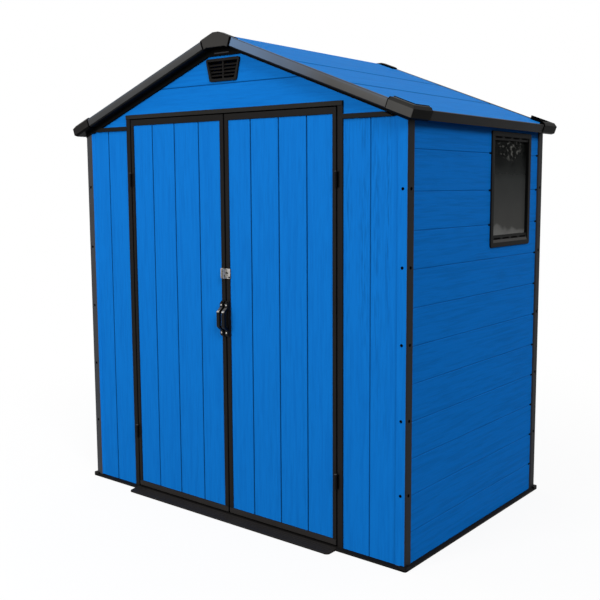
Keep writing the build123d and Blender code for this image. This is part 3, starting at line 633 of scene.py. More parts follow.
def board_sheet(low, high, seams, start, end, axes, origin, thickness, lift=0.0, first_board=0,
                groove_share=1.0, groove_wide=1.0, pores=0.1):
    """Panel of boards: across from low to high, along from start to end, which may vary across.

    axes holds the across, along and inward directions. The outer face is a grid, the back is flat.
    The grooves can be scaled in depth and width, and pores says how dark the pores are.
    """
    seams = np.asarray(seams, float)
    lips = groove_reach * (0.4 + 0.6 * groove_share) * groove_wide
    around = np.concatenate([-lips, lips])
    across = np.concatenate([np.arange(low, high, across_step), [high], (seams[:, None] + around).ravel()])
    across = np.unique(np.round(across[(across >= low) & (across <= high)], 3))
    gap = np.abs(across[:, None] - seams[None]).min(1) if len(seams) else np.full(len(across), 99.0)
    groove = np.interp(gap, lips, groove_fall)
    board = first_board + np.searchsorted(seams, across)
    across = np.concatenate([across, [high + lift, low]])
    board = np.concatenate([board, [board[-1], board[0]]])
    first, last = start(across), end(across)
    count = int(np.max(last - first) / along_step) + 2
    along = first + np.linspace(0, 1, count)[:, None] * (last - first)
    wide = np.broadcast_to(across, along.shape)
    streak = pressed_grain(along, wide, board * 5.0)
    depth = np.concatenate([groove * groove_share, [thickness, thickness]]) + 0 * along
    depth[:, :-2] += grain_depth * (1 - streak[:, :-2])
    axes = np.asarray(axes, float)
    sections = np.asarray(origin) + np.stack([wide, along, depth], -1) @ axes
    # Painted shade: a share that darkens the colour in the grooves.
    painted_groove_shade = groove_share * np.concatenate([groove, [0, 0]]) / groove_fall[0] + 0 * along
    place = np.stack([along * MM, wide * MM, np.broadcast_to(board, along.shape)], -1)
    fields = {"board_place": place.reshape(-1, 3), "streak": streak.ravel(), "groove": painted_groove_shade.ravel(),
              "pores": np.full(painted_groove_shade.size, pores)}
    return sections, fields


def board_piece(name, sheets, material, stands_for=(), body="shed"):
    """One piece from board sheets, with their fields as attributes of its points."""
    attributes = {}
    for key in sheets[0][1]:
        kind = ("FLOAT_VECTOR", "vector") if key == "board_place" else ("FLOAT", "value")
        attributes[key] = (*kind, np.concatenate([fields[key] for _, fields in sheets]))
    skins = [skin(sections) for sections, _ in sheets]
    return piece(name, skins, material, body, stands_for, attributes)


def level(value):
    """A limit that is the same all across a panel."""
    return lambda across: np.full(len(across), float(value))


# %% [markdown]
# ### Walls
# The side and back walls have level boards, the panels beside the doors upright ones. The right wall
# is four sheets round the window, cut square so that the joints vanish. Seams are 144.5 mm apart.

# %% Walls
lowest_seam, seam_pitch, seam_count = 137.0, 144.5, 11
wall_seams = lowest_seam + seam_pitch * np.arange(seam_count)
wall_seams[-1] += 10
wall_groove = 0.4
wall_high = float(under_roof(wall_x))
wall_lift = wall_thickness * math.tan(slope)


def seams_between(low, high):
    """The wall seams that cross a panel, clear of its edges."""
    return wall_seams[(wall_seams > low + 5) & (wall_seams < high - 5)]


def side_sheet(side, y_span, z_span, lift=0.0):
    """Boards of a side wall between two places along Y and two heights."""
    sign = MIRROR[side][0]
    first = int(np.searchsorted(wall_seams, z_span[0]))
    return board_sheet(*z_span, seams_between(*z_span), level(y_span[0]), level(y_span[1]),
                       [UP, NORTH, -sign * EAST], (sign * wall_x, 0, 0), wall_thickness, lift, first,
                       wall_groove)


near, far = span("right_wall_lower", 1)
hole_low, hole_high = span("right_wall_lower", 2)[1], span("right_wall_upper", 2)[0]
right_sheets = [
    side_sheet("right", (-post_inner_y, near), (rail_height, wall_high), wall_lift),
    side_sheet("right", (far, post_inner_y), (rail_height, wall_high), wall_lift),
    side_sheet("right", (near, far), (rail_height, hole_low)),
    side_sheet("right", (near, far), (hole_high, wall_high), wall_lift),
]
board_piece("right_wall_boards", right_sheets, side_plastic,
            ["right_wall_front", "right_wall_rear", "right_wall_lower", "right_wall_upper"])
left_sheet = side_sheet("left", (-post_inner_y, post_inner_y), (rail_height, wall_high), wall_lift)
board_piece("left_wall_boards", [left_sheet], side_plastic, ["left_wall"])
back_sheet = board_sheet(rail_height, wall_top, seams_between(rail_height, wall_top), level(-post_inner_x),
                         level(post_inner_x), [UP, EAST, -NORTH], (0, wall_y, 0), wall_thickness,
                         groove_share=wall_groove)
board_piece("back_wall_boards", [back_sheet], side_plastic, ["back_wall"])


# %% Front panels
def pore_columns(places):
    """Pores crowd in upright columns, bell curves across the board, and grow stronger with height."""
    middles, widths = np.array((650, 724, 782, 834)), np.array((13, 20, 18, 11))
    faint, strong, fade_height = 0.08, 0.4, 0.3
    columns = np.exp(-((places[:, 1:2] / MM - middles) / widths) ** 2).sum(1)
    return faint + strong * columns * np.clip(places[:, 0] - fade_height, 0, 1)


upright = [EAST, UP, NORTH]
front_panels = {"left": (12.0, 20, 1.0), "right": (0.0, 30, 0.75)}
for side, (seam_shift, first_board, groove_share) in front_panels.items():
    low, high = span(f"front_{side}_wall", 0)
    seam = (low + high) / 2 - seam_shift
    sheet = board_sheet(low, high, [seam], level(rail_height), level(wall_top), upright, (0, -wall_y, 0),
                        wall_thickness, first_board=first_board, groove_share=groove_share)
    if side == "right":
        sheet[1]["pores"] = pore_columns(sheet[1]["board_place"])
    board_piece(f"front_{side}_boards", [sheet], board_plastic, [f"front_{side}_wall"])

# %% [markdown]
# On the right front corner the blue board runs on over the face of the post, up to its edge. On the
# left a narrow strip slopes from the inner edge of the post down to the panel.

# %% Corner strips
strip_proud, strip_thick, strip_lift = 1.0, 3.0, 2.5
slope_start, slope_end = -post_inner_x - 2.0, -post_inner_x + 12.0
strip_limits = {"right": (post_inner_x, half_width - 3.0), "left": (slope_start, slope_end)}
for side, limits in strip_limits.items():
    strip = board_sheet(*limits, [], level(rail_height + strip_lift), under_roof, upright,
                        (0, -half_depth - strip_proud, 0), strip_thick, first_board=32)
    if side == "right":
        strip[1]["pores"] = pore_columns(strip[1]["board_place"])
    else:
        share = (strip[0][..., 0] - slope_start) / (slope_end - slope_start)
        strip[0][..., 1] += share * (half_depth + strip_proud - wall_y - 0.3)
    board_piece(f"{side}_corner_strip", [strip], board_plastic)

# %% [markdown]
# ### Gables
# Each gable is a triangle of level boards. A sheet's ends may vary across the boards, so the sloped
# sides are just straight limits. The hole for the vent is left by two sheets that stop beside it.

# %% Gables
vent_low, vent_high = span("gable_vents", 2)
gable_seam, gable_groove = vent_low - 8.0, 0.6
vent_low, vent_high = vent_low + 2.0, vent_high + 6.0
vent_foot, vent_head = 77.0, 99.0
vent_lip = 6.0


def gable_reach(across):
    """Half width of the gable at a height: the roof's underside meets it there."""
    return np.maximum((roof_under - across) / math.tan(slope), 0.5)


def vent_reach(across):
    """Half width of the hole for the vent at a height."""
    share = (across - vent_low) / (vent_high - vent_low)
    return vent_foot + share * (vent_head - vent_foot) - vent_lip


def gable_sheets(bottom, side):
    """Sheets under, beside and over the vent, on the front for side -1 and the back for side 1."""
    hole = (vent_low + vent_lip, vent_high - vent_lip)
    right_edge = lambda across: np.minimum(gable_reach(across), post_inner_x)
    left_edge = lambda across: -right_edge(across)
    rows = [(bottom, hole[0], left_edge, right_edge),
            (*hole, left_edge, lambda across: -vent_reach(across)),
            (*hole, vent_reach, right_edge),
            (hole[1], roof_under, left_edge, right_edge)]
    return [board_sheet(low, high, [gable_seam] if low < gable_seam < high else [], start, end,
                        [UP, EAST, -side * NORTH], (0, side * wall_y, 0), wall_thickness,
                        first_board=40 + (low > gable_seam), groove_share=gable_groove)
            for low, high, start, end in rows]


cap_top = span("back_wall_cap", 2)[1]
board_piece("front_gable_boards", gable_sheets(head_top, -1), board_plastic, ["front_gable"])
board_piece("back_gable_boards", gable_sheets(cap_top, 1), board_plastic, ["back_gable"])

# %% Gable corners beside the door head
head_half = span("door_head", 0)[1]
corner_sheets = [board_sheet(cap_top, head_top, [], level(head_half), gable_reach, [UP, side * EAST, NORTH],
                             (0, -wall_y, 0), wall_thickness, first_board=40) for side in (-1, 1)]
board_piece("gable_corner_boards", corner_sheets, board_plastic, ["front_gable_fillers"])

# %% [markdown]
# ### Roof
# Three boards run from front to back on each slope. The panel is worked out on the slope itself:
# across is the distance down from the ridge. It is the same plastic, its colour painted a touch paler as
# painted sheen of the sky.

# %% Roof
apex = np.array((0, 0, ridge_height))
down_slope = np.array((math.cos(slope), 0, -math.sin(slope)))
off_slope = np.array((math.sin(slope), 0, math.cos(slope)))
eave_run = span("right_roof_panel", 0)[1] / math.cos(slope)
roof_front = span("right_roof_panel", 1)[1]
roof_seams = np.array((0.365, 0.66)) * eave_run
mitre = roof_thickness * math.tan(slope)
for side, first_board in (("right", 50), ("left", 60)):
    mirror = MIRROR[side]
    sheet = board_sheet(0, eave_run, roof_seams, level(-roof_front), level(roof_front),
                        [down_slope * mirror, NORTH, -off_slope * mirror], apex, roof_thickness,
                        first_board=first_board, groove_share=0.75, groove_wide=3.0)
    sheet[0][:, -1] += down_slope * mirror * mitre
    board_piece(f"{side}_roof_boards", [sheet], roof_plastic, [f"{side}_roof_panel"])

# %% [markdown]
# ## Trim
# Posts, rails and strips are black mouldings with edges rounded by one to four millimetres. A post is
# a rounded square carried upwards, with a top that follows the roof. The base rail goes right round
# the shed, so it is a closed loop carried round a small profile, which leaves no mitre open. A blunt
# shoe covers each of its corners.

# %% Corner posts and base rail
post_round = 4.0


def corner_post(x, y):
    """Rounded square carried from the rail up to the roof's underside."""
    xs, ys = sorted((x * post_inner_x, x * half_width)), sorted((y * post_inner_y, y * half_depth))
    square = rounded(rectangle(xs, ys), post_round)
    return skin([np.insert(square, 2, height, 1) for height in (rail_height, under_roof(square[:, 0]))])


piece("moulded_corner_posts", [corner_post(x, y) for x in (-1, 1) for y in (-1, 1)], post_plastic,
      stands_for=["corner_posts"])
rail_reach = span("right_base_rail", 0)[1] - half_width
rail_inward = post_inner_x - half_width
rail_lip = 8.0


def rail_loop(reach, height):
    """Rounded rectangle round the shed, a reach outside the posts."""
    x, y = half_width + reach, half_depth + reach
    loop = rounded(rectangle((-x, x), (-y, y)), max(1.0, post_round + 0.4 * reach), 4)
    return np.insert(loop, 2, height, 1)


rail_profile = rounded([(rail_inward, 0), (rail_reach, 0), (rail_reach, rail_lip), (0, rail_height),
                        (rail_inward, rail_height)], [0.4, 1.0, 2.0, 3.0, 0.4])
shoe_length, shoe_height, shoe_round = 34.0, 18.0, 7.0
shoe = rectangle((half_width + rail_reach - shoe_length, half_width + rail_reach),
                 (half_depth + rail_reach - shoe_length, half_depth + rail_reach))
shoe = carried(shoe, [1.0, 1.0, shoe_round, 1.0], (0, 0, 0), EAST, NORTH, UP, shoe_height, 2.0, 5)
rail_skins = [skin([rail_loop(*point) for point in rail_profile], loop=True)]
piece("moulded_base_rail", rail_skins + skinned([shoe], 0, 1), rail_plastic,
      stands_for=["front_base_rail", "right_base_rail", "back_base_rail", "left_base_rail"])

# %% [markdown]
# ### Doorway
# The ramp is a thin wedge carried along X, its two outer corners rounded in plan. Jambs, head and the
# strips over the wall boards are bars. A black strip on each jamb is painted shade in the gap to the door.

# %% Ramp
ramp_tip, ramp_inner = span("door_ramp", 1)
ramp_half = span("door_ramp", 0)[1]
rail_front = -half_depth - rail_reach
ramp_round, ramp_lip, ramp_back = 16.0, 7.0, 10.0
rib_places = np.linspace(0.22, 0.82, 4)
rib_shares, rib_depths = np.array((0.0, 0.012, 0.05, 0.062)), (0, 1.2, 1.2, 0)


def ramp_section(x, drawn_in):
    """Wedge at one place along X, its tip drawn in: four shallow grooves cross the slope for grip."""
    tip = np.array((ramp_tip + drawn_in, ramp_lip))
    rise = np.array((ramp_inner, rail_height)) - tip
    share = (rib_places[:, None] + rib_shares).ravel()
    treads = tip + share[:, None] * rise - np.outer(np.tile(rib_depths, len(rib_places)), (0, 1))
    corners = [(rail_front, 0), (tip[0], 0), tip, *treads, (ramp_inner, rail_height), (ramp_inner, ramp_back),
               (rail_front, rail_lip)]
    outline = rounded(corners, [0.3, 1.0, 3.0, *np.full(len(treads), 0.2), 1.0, 0.3, 0.3])
    return np.insert(outline, 0, x, 1)


turn = np.linspace(0, np.pi / 2, 7)
ramp_places = ramp_round * (1 - np.cos(turn)) - ramp_half
ramp_draws = ramp_round * (1 - np.sin(turn))
ramp = [ramp_section(x, drawn_in) for x, drawn_in in zip(ramp_places, ramp_draws)]
ramp += [section * MIRROR["left"] for section in reversed(ramp)]
piece("moulded_door_ramp", [skin(ramp)], ramp_plastic, stands_for=["door_ramp"])

# %% Jambs, head and strips
doorway_top = span("door_jambs", 2)[1]
jamb_outer = span("door_jambs", 0)[1]
jamb_inner = jamb_outer - 25.0
jamb = rectangle((jamb_inner, jamb_outer), (-half_depth, -post_inner_y))
jamb = carried(jamb, 1.5, (0, 0, rail_height), EAST, NORTH, UP, doorway_top - rail_height, 0.3)
piece("moulded_door_jambs", skinned([jamb], 0), trim_plastic, stands_for=["door_jambs"])

gap_shade_margin = 4
# Painted shade: a black strip in the gap between jamb and door.
gap_shade = rectangle((jamb_inner - 5.0, jamb_inner + 0.5), (-half_depth + 3.0, -half_depth + 14.0))
gap_shade = carried(gap_shade, 1.0, (0, 0, rail_height + gap_shade_margin), EAST, NORTH, UP,
                   doorway_top - rail_height - 2 * gap_shade_margin, 0.3)
piece("jamb_gap_shades", skinned([gap_shade], 0), black_caps_and_shade)

head = rectangle(span("door_head", 1), (doorway_top - 2.0, head_top))
head = carried(head, [1.8, 0.4, 0.4, 1.8], (-jamb_outer, 0, 0), NORTH, UP, EAST, 2 * jamb_outer, 1.2)
piece("moulded_door_head", [skin(head)], head_plastic, stands_for=["door_head"])

channel_drop = 23.0
strip_front = span("front_wall_caps", 1)[0]
strip_depth = wall_thickness - wall_y - strip_front
strip_foot = (roof_under - channel_drop - wall_top) / math.tan(slope)
strip_head = (roof_under - channel_drop - cap_top) / math.tan(slope)
strips = [(jamb_outer, wall_top), (strip_foot, wall_top), (strip_head, cap_top), (jamb_outer, cap_top)]
strips = carried(strips, 0.4, (0, strip_front, 0), EAST, UP, NORTH, strip_depth, 1.6)
piece("moulded_wall_strips", skinned([strips], 0), trim_plastic, stands_for=["front_wall_caps"])
back_strip = [(-strip_foot, wall_top), (strip_foot, wall_top), (strip_head, cap_top), (-strip_head, cap_top)]
back_strip = carried(back_strip, 0.4, (0, -strip_front, 0), EAST, UP, -NORTH, strip_depth, 1.6)
piece("moulded_back_strip", [skin(back_strip)], trim_plastic, stands_for=["back_wall_cap"])

# %% [markdown]
# ### Channels under the roof
# One strip follows both slopes of a gable and is deeper at the top, where a level gusset joins them.
# It is near-black, painted shade under the bargeboards.

# %% Gable channels
channel_front = span("right_gable_channels", 1)[1]
gusset_low = roof_under - 56.0
left_drop, right_drop = channel_drop + 2.5, channel_drop - 5.0
left_half = (roof_under - left_drop - gusset_low) / math.tan(slope)
right_half = (roof_under - right_drop - gusset_low) / math.tan(slope)
channel_end = half_width - 1.0
end_high = float(under_roof(channel_end))
channel = [(-channel_end, end_high - left_drop), (-left_half, gusset_low), (right_half, gusset_low),
           (channel_end, end_high - right_drop), (channel_end, end_high), (0, roof_under),
           (-channel_end, end_high)]
channel = carried(channel, [0.5, 2, 2, 0.5, 0.5, 1, 0.5], (0, -channel_front, 0), EAST, UP, NORTH,
                  channel_front - wall_y, 1.5)
piece("moulded_gable_channels", skinned([channel], 1), shade_plastic,
      stands_for=["right_gable_channels", "left_gable_channels"])

lip_half, lip_low, lip_height = 42.0, gusset_low + 8, 5
lip_proud, lip_depth = 3, 4.0
lip = rectangle((-lip_half, lip_half), (lip_low, lip_low + lip_height))
lip = carried(lip, 1.5, (0, -channel_front - lip_proud, 0), EAST, UP, NORTH, lip_depth, 1.2)
piece("gusset_lips", skinned([lip], 1), post_plastic)

# %% [markdown]
# ### Vents
# A vent is a border that stands on the gable, four blades tilted to shed rain, and one upright bar.
# The border is a rounded trapezium carried round a small profile: each point of the profile says how
# far the trapezium is drawn in and how far it stands out, so the loop closes on itself.

# %% Vents
vent_border, vent_proud, vent_round = 12.0, 8.0, 9.0
vent_front = -wall_y - vent_proud
vent_back = wall_thickness - wall_y


def vent_loop(inset, y):
    """Rounded trapezium drawn in by an inset, at a depth y."""
    low, high = vent_foot - inset, vent_head - inset
    bottom, top = vent_low + inset, vent_high - inset
    loop = rounded([(-low, bottom), (low, bottom), (high, top), (-high, top)],
                   vent_round * (1 - inset / (2 * vent_border)), 5)
    return np.insert(loop, 1, y, 1)


border = np.array([vent_loop(*at) for at in (
    (0, -wall_y), (0, vent_front + 2), (0.6, vent_front + 0.6), (2, vent_front),
    (vent_border - 2, vent_front), (vent_border - 0.6, vent_front + 0.6), (vent_border, vent_front + 2),
    (vent_border, vent_back), (vent_lip, vent_back), (vent_lip, -wall_y))])
blade_tilt, blade_half, blade_count = math.radians(35), 7, 4
blade_along = np.array((0, math.cos(blade_tilt), math.sin(blade_tilt)))
blade_up = np.array((0, -math.sin(blade_tilt), math.cos(blade_tilt)))
blade = rectangle((-blade_half, blade_half), (-1.5, 1.5))
slats = []
for height in np.linspace(vent_low + vent_border, vent_high - vent_border, blade_count + 2)[1:-1]:
    half = float(vent_reach(height)) - 1
    middle = (-half, vent_front + vent_proud / 2 + blade_half, height)
    slats.append(carried(blade, 1.2, middle, blade_along, blade_up, EAST, 2 * half, 0.5))
bar = rectangle((-3.5, 3.5), (vent_front + 3.5, -wall_y + 6))
bar_length = vent_high - vent_low - 2 * vent_lip
bar = carried(bar, 1.2, (0, 0, vent_low + vent_lip), EAST, NORTH, UP, bar_length, 0.3)
piece("moulded_gable_vents", skinned([border], 1, loop=True) + skinned([*slats, bar], 1), trim_plastic,
      stands_for=["gable_vents"])

# %% [markdown]
# ### Roof edges
# Bargeboards and fascias are C-shaped mouldings that clip over the edge of the roof panels. The
# profile is drawn square to the slope and carried down it, or along it for the eaves. The bargeboard's
# finish wants to know how high up the moulding a point is, so each point also gets its rise.

# %% Bargeboards and fascias
trim_front = -span("bargeboards", 1)[0]
trim_low, trim_top, trim_wall = -32.0, 8.0, 6.0
eave_end = eave_run + trim_wall
barge_start, trim_cover = 22.0, 60.0
barge_chamfer = 5
trim_rounds = [2.0, 3.0, 1.5, 0.3, 0.3, 0.3, 0.3, 1.0]


def barge(top, lip):
    """C-shaped profile carried down the slope: its front edge is a chamfer, its lip lies on the roof."""
    front, inside, wall = -trim_front, -trim_front + trim_wall, -channel_front
    corners = [(front + barge_chamfer, trim_low), (front, trim_low + barge_chamfer), (front, top),
               (front + lip, top), (front + lip, -1), (inside, -1), (inside, -roof_thickness),
               (wall, -roof_thickness), (wall, trim_low)]
    return carried(corners, [1.0, 2.0, 0.6 * top, *trim_rounds[2:]], apex + down_slope * barge_start, NORTH,
                   off_slope, down_slope, eave_end - trim_cover - barge_start, 0.2, 4)


behind = np.array((1, -1, 1))
barges = flipped(barge(trim_top, 16), 0) + flipped(barge(3.5, 10) * behind, 0)
spots = np.concatenate([one.reshape(-1, 3) for one in barges])
rise = np.abs(spots[:, 0]) * math.sin(slope) + (spots[:, 2] - ridge_height) * math.cos(slope)
rise = np.clip((rise - trim_low) / (trim_top - trim_low), 0, 1)
piece("moulded_bargeboards", skinned(barges), barge_plastic, stands_for=["bargeboards"],
      attributes={"rise": ("FLOAT", "value", rise)})

fascia_top, fascia_lip, fascia_back = trim_top - 3, eave_end - 12, eave_end - 22
fascia = [(eave_end, trim_low), (eave_end, fascia_top), (fascia_lip, fascia_top), (fascia_lip, -1),
          (eave_run, -1), (eave_run, -roof_thickness), (fascia_back, -roof_thickness),
          (fascia_back, trim_low)]
fascia_half = trim_front - trim_cover
fascia = carried(fascia, trim_rounds, apex - NORTH * fascia_half, down_slope, off_slope, NORTH,
                 2 * fascia_half, 0.2, 4)
piece("moulded_eave_fascias", skinned([fascia], 0), trim_plastic, stands_for=["eave_fascias"])

# %% [markdown]
# Moulded caps cover the joints of that trim. An eave cap is an L in plan, its outline stacked up the
# roof's normal. The first and last levels draw its two outer sides in, which gives wide chamfers along
# the edges. Thin black strips where a cap meets the roof and the trim are painted shade along those joints.

# %% Eave caps
cap_wall, cap_chamfer, cap_under = 4.0, 12.0, 8.0
cap_end, cap_front = eave_end + cap_wall, -trim_front - cap_wall
cap_low, cap_high = trim_low - cap_wall, trim_top + cap_wall + 4.0
cap_start, cap_side = cap_end - 117.0, cap_front + 128.0
cap_inner_u, cap_inner_y = fascia_back, -channel_front


def on_roof(points):
    """Points given as distance down the slope, Y, and height off the roof, put into the frame."""
    points = np.asarray(points, float)
    return apex + points[..., :1] * down_slope + points[..., 1:2] * NORTH + points[..., 2:] * off_slope


def eave_cap_level(height, inset):
    """L-shaped outline at a height off the roof, its two outer sides drawn in by an inset."""
    start, end = cap_start + inset * 0.2, cap_end - inset
    front, side = cap_front + inset, cap_side - inset * 0.2
    corners = [(start, front), (end, front), (end, side), (cap_inner_u, side), (cap_inner_u, cap_inner_y),
               (start, cap_inner_y)]
    loop = rounded(corners, [1.0, 4.0, 1.0, 0.5, 0.5, 0.5])
    return on_roof(np.insert(loop, 2, height, 1))


turn_low, turn_high = cap_high - cap_chamfer - 0.8, cap_high - 0.6
cap = np.array([eave_cap_level(*at) for at in (
    (cap_low, cap_under), (cap_low + cap_under, 0), (turn_low, 0), (turn_low + 1.2, 0.5),
    (turn_high - 0.6, cap_chamfer - 1.2), (cap_high, cap_chamfer + 0.5))])
piece("moulded_eave_caps", skinned([cap], 0, 1), cap_plastic, stands_for=["eave_corner_caps"])


# %% Painted shade lines round the eave caps
def shade_end(outer, inner, along, across_axis, along_axis, thick):
    """Chamfered black plate at the end of a cap's arm, a little inside the cap's own outline: painted shade.
    """
    edge = 1 if inner > outer else -1
    low, high = cap_low + 2, cap_high - 1.5
    corners = [(outer + edge * (cap_under - 1), low), (outer, cap_low + cap_under + 1),
               (outer, cap_high - cap_chamfer), (outer + edge * (cap_chamfer - 2), high), (inner, high),
               (inner, low)]
    return carried(corners, 0.5, apex + along * along_axis, across_axis, off_slope, along_axis, thick, 0.3)


shade_wide = 4.0
lip_span = (-1, cap_high + 2)
# Painted shade: black plates and strips at the cap's ends and along its joint with the roof.
cap_shades = [
    shade_end(cap_front + 1.5, cap_inner_y + 2, cap_start - shade_wide, NORTH, down_slope, shade_wide + 1),
    shade_end(cap_end - 1.5, cap_inner_u - 2, cap_side - 1, down_slope, NORTH, shade_wide + 1),
    carried(rectangle((cap_inner_y - 5, cap_inner_y + 3), lip_span), 1.0,
            on_roof((cap_start - shade_wide, 0, 0)), NORTH, off_slope, down_slope,
            cap_inner_u - cap_start + shade_wide, 0.5),
    carried(rectangle((cap_inner_u - 3, cap_inner_u + 5), lip_span), 1.0, on_roof((0, cap_inner_y, 0)),
            down_slope, off_slope, NORTH, cap_side - cap_inner_y + shade_wide, 0.5)]

# %% Ridge caps
ridge_cover, gusset_drop, flat_rise = 9.5, 28.0, 4.5


def ridge_cap(end, inset, y_span, ease):
    """Flat-topped chevron in the XZ plane carried along Y."""
    fall = math.tan(slope)
    flat_low, flat_high = roof_under - gusset_drop + inset, ridge_height + flat_rise - inset
    top_line = ridge_height + (ridge_cover - inset) / math.cos(slope)
    low_line = ridge_height + (cap_low + inset) / math.cos(slope)
    ends = on_roof([(end, 0, cap_low + inset), (end, 0, ridge_cover - inset)])[:, [0, 2]]
    right = [((low_line - flat_low) / fall, flat_low), *ends, ((top_line - flat_high) / fall, flat_high)]
    corners = right + [(-x, z) for x, z in reversed(right)]
    return carried(corners, [3, 2, 4, 5, 5, 4, 2, 3], (0, y_span[0], 0), EAST, UP, NORTH,
                   y_span[1] - y_span[0], ease)


cap = ridge_cap(86.0, 0.0, (cap_front, -channel_front), 4.0)
piece("moulded_ridge_caps", skinned([cap], 1), cap_plastic, stands_for=["ridge_caps"])
# A black chevron just outside the ridge cap is painted shade round its edge.
ridge_shade = ridge_cap(93.0, 1.5, (cap_front + 1.5, -channel_front + 3), 0.3)
piece("cap_shade_lines", skinned(cap_shades, 0, 1) + skinned([ridge_shade], 1), black_caps_and_shade)

# %% [markdown]
# ## Window
# The surround is a rounded rectangle carried round its profile, as the vent is, but each station of
# the profile may be drawn in by different amounts at the sides, top and bottom. Two bars fill it over
# and under the glass, each with four slots. A slotted bar is a grid whose depth drops inside the slots.

# %% Window surround
window_y, window_z = span("window_frame", 1), span("window_frame", 2)
window_z = (window_z[0], window_z[1] + 4.0)
glass_y, glass_z = span("window_pane", 1), span("window_pane", 2)
sleeve_back, window_face = span("window_frame", 0)
side_border = glass_y[0] - window_y[0]
top_border, sill_border = window_z[1] - glass_z[1], glass_z[0] - window_z[0]
top_rim, sill_face = 21.0, 20.0


def window_loop(x, side, top, bottom, radius):
    """Rounded rectangle of the window, drawn in by its own amount at the sides, top and bottom."""
    loop = rectangle((window_y[0] + side, window_y[1] - side), (window_z[0] + bottom, window_z[1] - top))
    loop = rounded(loop, radius, 5)
    return np.insert(loop, 0, x, 1)


surround_loops = [
    window_loop(wall_x, 0, 0, 0, 9), window_loop(window_face - 2, 0, 0, 0, 9),
    window_loop(window_face - 0.6, 0.6, 0.6, 0.6, 8), window_loop(window_face, 2, 2, 2, 7),
    window_loop(window_face, side_border - 2, top_rim - 1.5, sill_face - 1.5, 2),
    window_loop(window_face - 0.5, side_border - 0.6, top_rim - 0.4, sill_face - 0.4, 2),
    window_loop(window_face - 2, side_border, top_rim, sill_face, 2),
    window_loop(wall_x, side_border, top_rim, sill_face, 2)]
sleeve = [(sleeve_back, -6), (wall_x, -6), (wall_x, 0), (sleeve_back, 0)]
sleeve_loops = [window_loop(x, side_border + out, top_border + out, sill_border + out, 1.5)
                for x, out in sleeve]

# %% Slotted bars over and under the glass
slot_count, slot_fill = 4, 0.72
slot_pitch = (glass_y[1] - glass_y[0]) / slot_count
slot_middles = glass_y[0] + (np.arange(slot_count) + 0.5) * slot_pitch
slot_half = slot_fill * slot_pitch / 2
back_x, strip_x = wall_x - 0.5, window_face - 4.0
slot_high, slot_edge, slot_depth = 7.0, 0.3, 2.0
top_slot, sill_slot = glass_z[1] + 8.5, window_z[0] + 32.5
header_top, sill_low = window_z[1] - top_rim + 1, window_z[0] + 31


def slotted_bar(profile, slot_rows):
    """Profile in X and Z carried along Y, pushed in where a row lies inside a slot."""
    edge = 0.4
    offsets = np.array((-slot_half - edge, -slot_half, slot_half, slot_half + edge))
    edges = (slot_middles[:, None] + offsets).ravel()
    along = np.concatenate([[glass_y[0] - 1], edges, [glass_y[1] + 1]])
    inside = np.abs(along[:, None] - slot_middles).min(1) <= slot_half + edge / 2
    profile = np.asarray(profile, float)
    x = profile[:, 0] - slot_depth * inside[:, None] * np.asarray(slot_rows, float)
    y, z = np.broadcast_to(along[:, None], x.shape), np.broadcast_to(profile[:, 1], x.shape)
    return np.stack([x, y, z], -1)


def slot_points(low):
    """The four rows of a bar's profile at the edges of a slot, from its lower to its upper side."""
    return [(strip_x, z) for z in (low - slot_edge, low, low + slot_high, low + slot_high + slot_edge)]


header = [(back_x, glass_z[1]), (strip_x - 1, glass_z[1]), (strip_x, glass_z[1] + 1), *slot_points(top_slot),
          (strip_x, header_top), (back_x, header_top)]
sill = [(back_x, sill_low), (strip_x, sill_low), *slot_points(sill_slot), (strip_x, glass_z[0] - 1),
        (strip_x - 1, glass_z[0]), (back_x, glass_z[0])]
bars = [slotted_bar(header, [0, 0, 0, 0, 1, 1, 0, 0, 0]), slotted_bar(sill, [0, 0, 0, 1, 1, 0, 0, 0, 0])]
piece("moulded_window_surround", skinned([surround_loops, sleeve_loops], loop=True) + skinned(bars),
      window_plastic, stands_for=["window_frame"])

# %% [markdown]
# The sill's top is a paler grey. The pane is one flat sheet a little behind the face
# of the surround, with a black bead in the far reveal, and dark inlays in the slots are painted shade for
# their hollows.

# %% Ledge, pane, bead and painted slot shade
glass_width, glass_height = glass_y[1] - glass_y[0], glass_z[1] - glass_z[0]
ledge_front, ledge_low, ledge_top = window_face - 0.8, 18, 31.5
ledge = [(back_x, ledge_low), (ledge_front, ledge_low), (ledge_front, ledge_low + 2),
         (strip_x + 0.2, ledge_top), (back_x, ledge_top)]
ledge = np.array(ledge) + (0, window_z[0])
ledge = carried(ledge, 0.3, (0, glass_y[0], 0), EAST, UP, NORTH, glass_width, 0.2)
piece("pale_window_ledge", [skin(ledge)], ledge_plastic)
pane_back, pane_thick = wall_x - 11.0, 3.0
pane = carried(rectangle(glass_y, glass_z), 0.5, (pane_back, 0, 0), NORTH, UP, EAST, pane_thick, 0.3)
piece("tinted_window_pane", [skin(pane)], glazing, stands_for=["window_pane"])
bead = rectangle((pane_back + pane_thick, window_face - 1.5), (0, 1.5))
bead = carried(bead, 0.4, (0, glass_y[1] - 1.3, glass_z[0]), EAST, NORTH, UP, glass_height, 0.2)
piece("black_window_bead", [skin(bead)], window_plastic)
# Painted shade: black inlays at the bottom of the slots.
slot_shades = []
for low in (top_slot, sill_slot):
    for middle in slot_middles:
        slot_shade = rectangle((middle - slot_half, middle + slot_half),
                          (low - slot_edge, low + slot_high + slot_edge))
        slot_shades.append(carried(slot_shade, 0.5, (strip_x - 2.2, 0, 0), NORTH, UP, EAST, 1.6, 0.2))
piece("window_slot_shades", skinned(slot_shades), black_caps_and_shade)

# %% [markdown]
# ## Doors
# Each door is four upright boards in a frame. The frame is one rectangle carried round its profile,
# with a thin, paler strip on its lower rail. Left and right are mirror images, and
# each rides on its own body so that it swings with its hinge.

